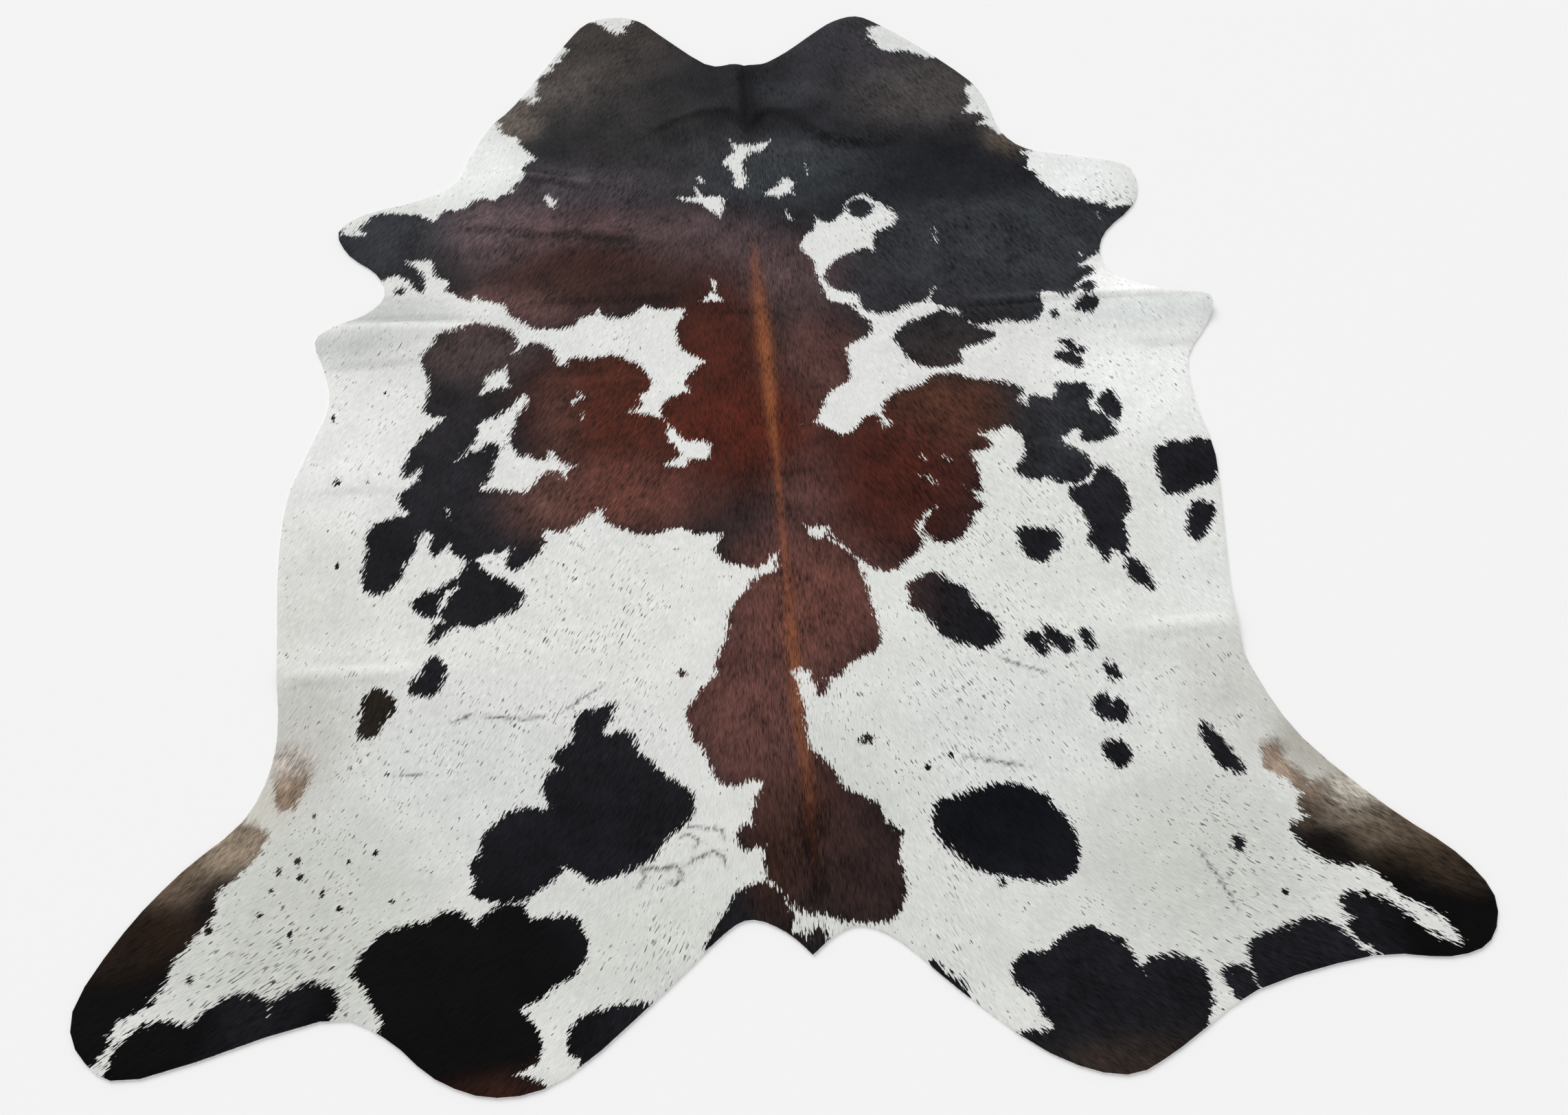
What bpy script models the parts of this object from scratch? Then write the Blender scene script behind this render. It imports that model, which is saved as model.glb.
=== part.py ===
"""Cowhide rug: one whole hide with its hair on, laid flat with its hair side up.

Metres, +Z up. The backbone runs along Y, with the neck at +Y and the tail at -Y.
The origin is at the middle of the hide's box, on the floor.
"""
import math

import bmesh
import bpy

# Driving dimensions
LEATHER_THICKNESS = 0.0025
COAT_DEPTH = 0.0025          # hair lies flat on the leather
BACKBONE_X = 0.020           # the right side is cut slightly narrower than the left
NECK_NOTCH_Y = 0.945
TAIL_TIP_Y = -0.942
CELL = 0.030                 # facets of the sheet, about this wide
BLANK_HALF = (36 * CELL, 39 * CELL)
OUTLINE_STEPS = 3            # straight runs between two neighbouring outline points

# The cut edge from the neck notch round each side to the tail tip.
# place, left out, left along, right out, right along: "out" is measured from the backbone.
OUTLINE = [
    ("notch lip", 0.030, 0.960, 0.036, 0.957),
    ("neck hollow", 0.085, 0.970, 0.093, 0.995),
    ("neck rise", 0.180, 1.070, 0.160, 1.055),
    ("crown inner", 0.225, 1.118, 0.205, 1.090),
    ("crown", 0.278, 1.135, 0.257, 1.104),
    ("crown outer", 0.340, 1.120, 0.305, 1.073),
    ("neck edge high", 0.390, 1.050, 0.385, 0.995),
    ("neck edge low", 0.490, 0.870, 0.480, 0.880),
    ("neck waist", 0.541, 0.803, 0.508, 0.810),
    ("neck foot", 0.582, 0.710, 0.525, 0.720),
    ("shoulder hollow", 0.603, 0.648, 0.568, 0.667),
    ("shoulder top", 0.670, 0.603, 0.640, 0.645),
    ("shoulder outer", 0.780, 0.570, 0.760, 0.610),
    ("shoulder tip", 0.828, 0.525, 0.780, 0.556),
    ("shoulder under", 0.800, 0.462, 0.758, 0.492),
    ("armpit high", 0.745, 0.412, 0.692, 0.427),
    ("armpit", 0.723, 0.355, 0.669, 0.368),
    ("armpit low", 0.752, 0.300, 0.690, 0.308),
    ("foreleg top", 0.808, 0.271, 0.780, 0.258),
    ("foreleg tip", 0.841, 0.240, 0.855, 0.238),
    ("foreleg under", 0.820, 0.180, 0.838, 0.180),
    ("brisket", 0.802, 0.096, 0.785, 0.105),
    ("belly front", 0.831, -0.015, 0.775, 0.010),
    ("belly", 0.854, -0.115, 0.784, -0.120),
    ("belly back", 0.849, -0.276, 0.758, -0.308),
    ("flank", 0.819, -0.503, 0.738, -0.470),
    ("flank low", 0.818, -0.600, 0.750, -0.550),
    ("thigh", 0.850, -0.685, 0.795, -0.660),
    ("shank", 0.930, -0.758, 0.895, -0.780),
    ("hock", 1.000, -0.843, 0.975, -0.855),
    ("hind tip", 1.052, -0.950, 1.012, -0.925),
    ("hind under", 1.021, -1.021, 0.985, -0.988),
    ("hind heel", 0.942, -1.047, 0.920, -1.007),
    ("hind hollow", 0.702, -0.987, 0.810, -0.998),
    ("buttock outer", 0.610, -1.015, 0.630, -1.034),
    ("buttock side", 0.535, -1.075, 0.505, -1.103),
    ("buttock", 0.448, -1.105, 0.422, -1.134),
    ("buttock inner", 0.350, -1.083, 0.320, -1.099),
    ("rump edge", 0.210, -0.975, 0.210, -1.010),
    ("tail hollow outer", 0.125, -0.902, 0.130, -0.932),
    ("tail hollow", 0.083, -0.886, 0.077, -0.905),
    ("tail root", 0.035, -0.908, 0.038, -0.914),
]

# Low folds left from packing and from the animal's shape, all raised off the floor.
# place, starts at, from x, from y, to x, to y, height, half width.
FOLDS = [
    ("neck backbone fold", "edge", 0.020, 0.945, 0.020, 0.700, 0.011, 0.060),
    ("neck wrinkle left", "inside", -0.240, 0.720, 0.010, 0.830, 0.009, 0.060),
    ("neck wrinkle right", "inside", 0.030, 0.830, 0.300, 0.670, 0.009, 0.060),
    ("shoulder fold left", "inside", -0.700, 0.515, -0.050, 0.420, 0.012, 0.075),
    ("shoulder fold right", "inside", 0.700, 0.490, 0.200, 0.470, 0.009, 0.075),
    ("collar wrinkle left", "inside", -0.520, 0.665, -0.230, 0.570, 0.010, 0.060),
    ("foreleg fold left", "edge", -0.820, 0.272, -0.300, 0.305, 0.013, 0.075),
    ("foreleg fold right", "edge", 0.870, 0.240, 0.250, 0.250, 0.013, 0.075),
    ("flank fold left", "edge", -0.810, -0.445, -0.450, -0.455, 0.007, 0.080),
    ("flank fold right", "edge", 0.760, -0.455, 0.400, -0.460, 0.008, 0.080),
    ("rump backbone fold", "inside", 0.028, -0.500, 0.028, -0.900, 0.006, 0.060),
]

COAT_COLOUR = (0.22, 0.15, 0.12, 1.0)
COAT_ROUGHNESS = 0.6


def smooth_run(points, steps):
    """A smooth run through points, given once each end is doubled, with steps per gap."""
    padded = [points[0]] + points + [points[-1]]
    run = []
    for before, start, end, after in zip(padded, padded[1:], padded[2:], padded[3:]):
        for step in range(steps):
            t = step / steps
            run.append(tuple(
                0.5 * (2 * q
                       + (r - p) * t
                       + (2 * p - 5 * q + 4 * r - s) * t ** 2
                       + (3 * q - p - 3 * r + s) * t ** 3)
                for p, q, r, s in zip(before, start, end, after)
            ))
    return run


def outline_loop():
    """The closed outline, from the notch down the left side and back up the right."""
    notch = (BACKBONE_X, NECK_NOTCH_Y)
    tail = (BACKBONE_X, TAIL_TIP_Y)
    left = [(BACKBONE_X - row[1], row[2]) for row in OUTLINE]
    right = [(BACKBONE_X + row[3], row[4]) for row in reversed(OUTLINE)]
    return (smooth_run([notch] + left + [tail], OUTLINE_STEPS)
            + smooth_run([tail] + right + [notch], OUTLINE_STEPS))


def fold_lift(x, y):
    """How far the sheet stands off the floor at a place: the tallest fold that reaches it."""
    lift = 0.0
    for _, starts_at, from_x, from_y, to_x, to_y, height, half_width in FOLDS:
        run_x = to_x - from_x
        run_y = to_y - from_y
        length = math.hypot(run_x, run_y)
        along = ((x - from_x) * run_x + (y - from_y) * run_y) / length ** 2
        nearest = min(max(along, 0.0), 1.0)
        away = math.hypot(x - from_x - nearest * run_x, y - from_y - nearest * run_y)
        if away < half_width:
            fade = 1 - nearest ** 2 if starts_at == "edge" else math.sin(math.pi * nearest)
            across = 0.5 + 0.5 * math.cos(math.pi * away / half_width)
            lift = max(lift, height * fade * across)
    return lift


def make_blank(thickness):
    """A flat slab of square cells, a little larger than the hide."""
    mesh = bpy.data.meshes.new("hide")
    form = bmesh.new()
    columns = round(2 * BLANK_HALF[0] / CELL)
    rows = round(2 * BLANK_HALF[1] / CELL)
    bmesh.ops.create_grid(form, x_segments=columns, y_segments=rows, size=1.0)
    bmesh.ops.scale(form, vec=(BLANK_HALF[0], BLANK_HALF[1], 1.0), verts=form.verts)
    raised = bmesh.ops.extrude_face_region(form, geom=form.faces[:])
    upper = [item for item in raised["geom"] if isinstance(item, bmesh.types.BMVert)]
    bmesh.ops.translate(form, vec=(0.0, 0.0, thickness), verts=upper)
    bmesh.ops.recalc_face_normals(form, faces=form.faces)
    form.to_mesh(mesh)
    form.free()
    blank = bpy.data.objects.new("hide", mesh)
    bpy.context.scene.collection.objects.link(blank)
    return blank


def make_knife(thickness):
    """The outline as a tall block that the blank is cut with."""
    reach = 4 * thickness
    form = bmesh.new()
    corners = [form.verts.new((x, y, -reach)) for x, y in outline_loop()]
    floor = form.faces.new(corners)
    raised = bmesh.ops.extrude_face_region(form, geom=[floor])
    upper = [item for item in raised["geom"] if isinstance(item, bmesh.types.BMVert)]
    bmesh.ops.translate(form, vec=(0.0, 0.0, 2 * reach + thickness), verts=upper)
    bmesh.ops.recalc_face_normals(form, faces=form.faces)
    mesh = bpy.data.meshes.new("knife")
    form.to_mesh(mesh)
    form.free()
    knife = bpy.data.objects.new("knife", mesh)
    knife.hide_render = True
    knife.display_type = 'WIRE'
    bpy.context.scene.collection.objects.link(knife)
    return knife


def cut_sheet(blank, knife):
    """Trim the blank to the outline and keep the result as its mesh."""
    cut = blank.modifiers.new("outline", 'BOOLEAN')
    cut.operation = 'INTERSECT'
    cut.solver = 'EXACT'
    cut.object = knife
    bpy.context.view_layer.update()
    graph = bpy.context.evaluated_depsgraph_get()
    trimmed = bpy.data.meshes.new_from_object(blank.evaluated_get(graph))
    blank.modifiers.clear()
    blank.data = trimmed
    trimmed.name = "hide"
    bpy.data.objects.remove(knife)


def raise_folds(sheet):
    """Lift both faces of the sheet together along the folds."""
    for vertex in sheet.data.vertices:
        vertex.co.z += fold_lift(vertex.co.x, vertex.co.y)


def coat_material():
    material = bpy.data.materials.new("cowhide")
    material.use_nodes = True
    surface = material.node_tree.nodes["Principled BSDF"]
    surface.inputs["Base Color"].default_value = COAT_COLOUR
    surface.inputs["Roughness"].default_value = COAT_ROUGHNESS
    surface.inputs["Metallic"].default_value = 0.0
    return material


def main():
    for thing in list(bpy.data.objects):
        bpy.data.objects.remove(thing)
    thickness = LEATHER_THICKNESS + COAT_DEPTH
    hide = make_blank(thickness)
    cut_sheet(hide, make_knife(thickness))
    raise_folds(hide)
    hide.data.materials.clear()
    hide.data.materials.append(coat_material())


main()
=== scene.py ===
import math
import bmesh, bpy
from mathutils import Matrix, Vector, noise
from mathutils.bvhtree import BVHTree
from mathutils.kdtree import KDTree


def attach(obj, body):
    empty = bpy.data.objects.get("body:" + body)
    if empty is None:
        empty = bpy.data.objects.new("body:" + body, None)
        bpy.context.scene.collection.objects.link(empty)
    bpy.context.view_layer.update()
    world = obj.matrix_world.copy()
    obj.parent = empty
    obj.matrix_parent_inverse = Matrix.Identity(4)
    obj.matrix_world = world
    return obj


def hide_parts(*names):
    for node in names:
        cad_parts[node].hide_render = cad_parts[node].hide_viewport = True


# A whole black, brown and white cowhide, laid flat with its hair side up.
# Metres, +Z up; the backbone runs along Y, with the neck at +Y.
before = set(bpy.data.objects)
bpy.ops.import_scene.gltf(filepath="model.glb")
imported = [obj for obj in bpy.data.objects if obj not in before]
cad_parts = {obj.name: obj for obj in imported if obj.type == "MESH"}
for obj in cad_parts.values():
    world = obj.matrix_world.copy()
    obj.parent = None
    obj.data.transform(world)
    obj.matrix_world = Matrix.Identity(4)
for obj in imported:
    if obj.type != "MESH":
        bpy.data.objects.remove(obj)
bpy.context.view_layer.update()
cm = 0.01

studioSettings = {
    "cameraPlace": (-0.0524, -1.3853, 1.9263),
    "cameraTurn": (30.0, 0.0, -3.9),      # degrees
    "lens": 30.0,
    "sensor": 36.0,
    "floorSize": 160.0,
    "floorColour": (0.98, 0.98, 0.98, 1.0),
    "floorRoughness": 0.9,
    "skyColour": (1.0, 1.0, 1.0, 1.0),
    "skyStrength": 0.62,
    "lampFrom": (-0.35, 0.80, 0.72),      # a broad soft light from beyond the neck
    "lampSpread": 40.0,
    "lampStrength": 1.45,
}


def makeCamera(settings):
    camera = bpy.data.objects.new("camera", bpy.data.cameras.new("camera"))
    camera.location = settings["cameraPlace"]
    camera.rotation_euler = [math.radians(turn) for turn in settings["cameraTurn"]]
    camera.data.lens = settings["lens"]
    camera.data.sensor_width = settings["sensor"]
    bpy.context.scene.collection.objects.link(camera)
    bpy.context.scene.camera = camera


def makeStudio(settings):
    form = bmesh.new()
    bmesh.ops.create_grid(form, x_segments=1, y_segments=1, size=settings["floorSize"] / 2)
    mesh = bpy.data.meshes.new("floor")
    form.to_mesh(mesh)
    form.free()
    floor = bpy.data.objects.new("floor", mesh)
    paint = plainPaint("floor paint", settings["floorColour"], settings["floorRoughness"])
    floor.data.materials.append(paint)
    bpy.context.scene.collection.objects.link(floor)

    world = bpy.data.worlds.new("studio")
    world.use_nodes = True
    sky = world.node_tree.nodes["Background"]
    sky.inputs["Color"].default_value = settings["skyColour"]
    sky.inputs["Strength"].default_value = settings["skyStrength"]
    bpy.context.scene.world = world

    lamp = bpy.data.lights.new("soft lamp", 'SUN')
    lamp.energy = settings["lampStrength"]
    lamp.angle = math.radians(settings["lampSpread"])
    light = bpy.data.objects.new("soft lamp", lamp)
    light.rotation_euler = (-Vector(settings["lampFrom"])).to_track_quat('-Z', 'Y').to_euler()
    bpy.context.scene.collection.objects.link(light)
    bpy.context.scene.view_settings.view_transform = 'Standard'


def plainPaint(name, colour, roughness):
    material = bpy.data.materials.new(name)
    material.use_nodes = True
    surface = material.node_tree.nodes["Principled BSDF"]
    surface.inputs["Base Color"].default_value = colour
    surface.inputs["Roughness"].default_value = roughness
    return material


hideSettings = {
    "leather": 0.0025,        # thickness of the skin
    "coat": 0.0025,           # depth of the flat-lying hair
    "backboneX": 0.020,
    "neckNotchY": 0.945,
    "tailTipY": -0.942,
    "blankHalf": (1.088, 1.184),
    "hairCell": 0.008,        # facets of the hair side
    "fleshCell": 0.020,       # facets of the flesh side
    "outlineSteps": 3,        # straight runs between two neighbouring places of the cut edge
    "patchSteps": 3,          # and between two neighbouring points of a patch
    "lineSteps": 12,
    "patchReach": 0.03,       # depths inside and outside a patch are told up to here
    "refineEdges": 0.0085,    # the hair side is divided again this near a patch's edge
    "refineSmall": 0.008,     # the same near a dot or a thin line
    "refineDots": 0.007,      # and once more near a dot
    "edgeTaper": 0.012,       # the coat thins out over this width at the cut edge
    "unevenness": 0.0010,
    "unevenScale": 7,         # swells in each metre
    "deepest": -0.0030,       # no crease cuts further into the coat than this
    "paintedShadeWiden": 1.7,        # the painted shade and light of a crease reach this many times its width
    "paintedShadeGain": 290,
    "sharpFrom": 50,          # degrees between two facets
    "darkBase": (31, 31, 35),
    "whiteBase": (226, 227, 223),
    "darkGloss": 0.0045,
    "flatSize": (2.064, 2.269),
    "flatArea": 3.13,
}

# The cut edge from the neck notch to the tail tip, in metres
# place, left out, left along, right out, right along: "out" is measured from the backbone
cutEdge = [
    ("notch lip", 0.030, 0.960, 0.036, 0.957),
    ("neck hollow", 0.085, 0.970, 0.093, 0.995),
    ("neck rise", 0.180, 1.070, 0.160, 1.055),
    ("crown inner", 0.225, 1.118, 0.205, 1.090),
    ("crown", 0.278, 1.135, 0.257, 1.104),
    ("crown outer", 0.340, 1.120, 0.305, 1.073),
    ("neck edge high", 0.390, 1.050, 0.385, 0.995),
    ("neck edge low", 0.490, 0.870, 0.480, 0.880),
    ("neck waist", 0.541, 0.803, 0.508, 0.810),
    ("neck foot", 0.582, 0.710, 0.525, 0.720),
    ("shoulder hollow", 0.603, 0.648, 0.568, 0.667),
    ("shoulder top", 0.670, 0.603, 0.640, 0.645),
    ("shoulder outer", 0.780, 0.570, 0.760, 0.610),
    ("shoulder tip", 0.828, 0.525, 0.780, 0.556),
    ("shoulder under", 0.800, 0.462, 0.758, 0.492),
    ("armpit high", 0.745, 0.412, 0.692, 0.427),
    ("armpit", 0.723, 0.355, 0.669, 0.368),
    ("armpit low", 0.752, 0.300, 0.690, 0.308),
    ("foreleg top", 0.808, 0.271, 0.780, 0.258),
    ("foreleg tip", 0.841, 0.240, 0.855, 0.238),
    ("foreleg under", 0.820, 0.180, 0.838, 0.180),
    ("brisket", 0.802, 0.096, 0.785, 0.105),
    ("belly front", 0.831, -0.015, 0.775, 0.010),
    ("belly", 0.854, -0.115, 0.784, -0.120),
    ("belly back", 0.849, -0.276, 0.758, -0.308),
    ("flank", 0.819, -0.503, 0.738, -0.470),
    ("flank low", 0.818, -0.600, 0.750, -0.550),
    ("thigh", 0.850, -0.685, 0.795, -0.660),
    ("shank", 0.930, -0.758, 0.895, -0.780),
    ("hock", 1.000, -0.843, 0.975, -0.855),
    ("hind tip", 1.052, -0.950, 1.012, -0.925),
    ("hind under", 1.021, -1.021, 0.985, -0.988),
    ("hind heel", 0.942, -1.047, 0.920, -1.007),
    ("hind hollow", 0.702, -0.987, 0.810, -0.998),
    ("buttock outer", 0.610, -1.015, 0.630, -1.034),
    ("buttock side", 0.535, -1.075, 0.505, -1.103),
    ("buttock", 0.448, -1.105, 0.422, -1.134),
    ("buttock inner", 0.350, -1.083, 0.320, -1.099),
    ("rump edge", 0.210, -0.975, 0.210, -1.010),
    ("tail hollow outer", 0.125, -0.902, 0.130, -0.932),
    ("tail hollow", 0.083, -0.886, 0.077, -0.905),
    ("tail root", 0.035, -0.908, 0.038, -0.914),
]

# Low folds that lift the whole skin, in metres:
# place, starts at, from x, from y, to x, to y, height, half width
skinFolds = [
    ("neck backbone fold", "edge", 0.020, 0.945, 0.020, 0.700, 0.011, 0.060),
    ("neck wrinkle left", "inside", -0.240, 0.720, 0.010, 0.830, 0.009, 0.060),
    ("neck wrinkle right", "inside", 0.030, 0.830, 0.300, 0.670, 0.009, 0.060),
    ("shoulder fold left", "inside", -0.700, 0.515, -0.050, 0.420, 0.012, 0.075),
    ("shoulder fold right", "inside", 0.700, 0.490, 0.200, 0.470, 0.009, 0.075),
    ("collar wrinkle left", "inside", -0.520, 0.665, -0.230, 0.570, 0.010, 0.060),
    ("foreleg fold left", "edge", -0.820, 0.272, -0.300, 0.305, 0.013, 0.075),
    ("foreleg fold right", "edge", 0.870, 0.240, 0.250, 0.250, 0.013, 0.075),
    ("flank fold left", "edge", -0.810, -0.445, -0.450, -0.455, 0.007, 0.080),
    ("flank fold right", "edge", 0.760, -0.455, 0.400, -0.460, 0.008, 0.080),
    ("rump backbone fold", "inside", 0.028, -0.500, 0.028, -0.900, 0.006, 0.060),
]

# Fine creases in the hair side, in metres:
# place, x and y of each bend, depth (a groove is negative), half width
coatCreases = [
    ("collar groove low", [(-0.46, 0.645), (-0.38, 0.625), (-0.29, 0.595)], -0.0034, 0.013),
    ("collar groove high", [(-0.44, 0.665), (-0.39, 0.655), (-0.34, 0.640)], -0.0028, 0.011),
    ("collar ridge", [(-0.46, 0.658), (-0.37, 0.640), (-0.30, 0.612)], 0.0026, 0.012),
    ("shoulder groove", [(-0.60, 0.505), (-0.50, 0.502), (-0.42, 0.480), (-0.33, 0.475), (-0.10, 0.420)],
     -0.0034, 0.016),
    ("neck groove left", [(-0.21, 0.735), (-0.13, 0.785), (-0.07, 0.810), (-0.02, 0.808), (0.01, 0.775),
                          (0.02, 0.745)], -0.0050, 0.015),
    ("neck groove right", [(0.022, 0.745), (0.035, 0.775), (0.065, 0.803), (0.10, 0.795), (0.13, 0.765),
                           (0.16, 0.730), (0.20, 0.704), (0.26, 0.690), (0.32, 0.700)], -0.0050, 0.015),
    ("neck backbone crease", [(0.018, 0.940), (0.020, 0.850), (0.022, 0.760)], -0.0048, 0.015),
    ("foreleg step left", [(-0.80, 0.288), (-0.63, 0.281), (-0.50, 0.272)], -0.0034, 0.008),
    ("foreleg roll left", [(-0.81, 0.268), (-0.65, 0.264), (-0.50, 0.257)], 0.0034, 0.013),
    ("foreleg crease left", [(-0.80, 0.182), (-0.70, 0.180), (-0.60, 0.186)], -0.0026, 0.014),
    ("foreleg roll right", [(0.38, 0.262), (0.60, 0.266), (0.86, 0.258)], 0.0034, 0.011),
    ("foreleg step right", [(0.38, 0.248), (0.60, 0.251), (0.87, 0.243)], -0.0036, 0.008),
    ("foreleg crease right", [(0.70, 0.137), (0.78, 0.134), (0.85, 0.136)], -0.0024, 0.014),
    ("saddle line", [(-0.46, 0.310), (-0.28, 0.312), (-0.10, 0.305)], -0.0024, 0.012),
    ("barrel line left", [(-0.42, 0.125), (-0.30, 0.122), (-0.20, 0.115)], 0.0020, 0.010),
    ("backbone cross high", [(-0.08, 0.266), (0.02, 0.262), (0.12, 0.266)], -0.0014, 0.009),
    ("backbone cross low", [(-0.10, -0.104), (0.02, -0.108), (0.12, -0.104)], -0.0014, 0.009),
    ("flank line left", [(-0.80, -0.443), (-0.68, -0.447), (-0.55, -0.446)], 0.0026, 0.012),
    ("flank groove left", [(-0.81, -0.468), (-0.70, -0.470), (-0.60, -0.466)], -0.0020, 0.012),
    ("belly line left", [(-0.80, -0.100), (-0.70, -0.096), (-0.62, -0.104)], -0.0018, 0.012),
    ("flank line right", [(0.58, -0.452), (0.68, -0.448), (0.76, -0.450)], 0.0026, 0.012),
    ("flank groove right", [(0.60, -0.474), (0.68, -0.470), (0.75, -0.472)], -0.0020, 0.012),
    ("croup fold", [(0.030, -0.690), (0.036, -0.800), (0.036, -0.890)], -0.0036, 0.016),
]


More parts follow.
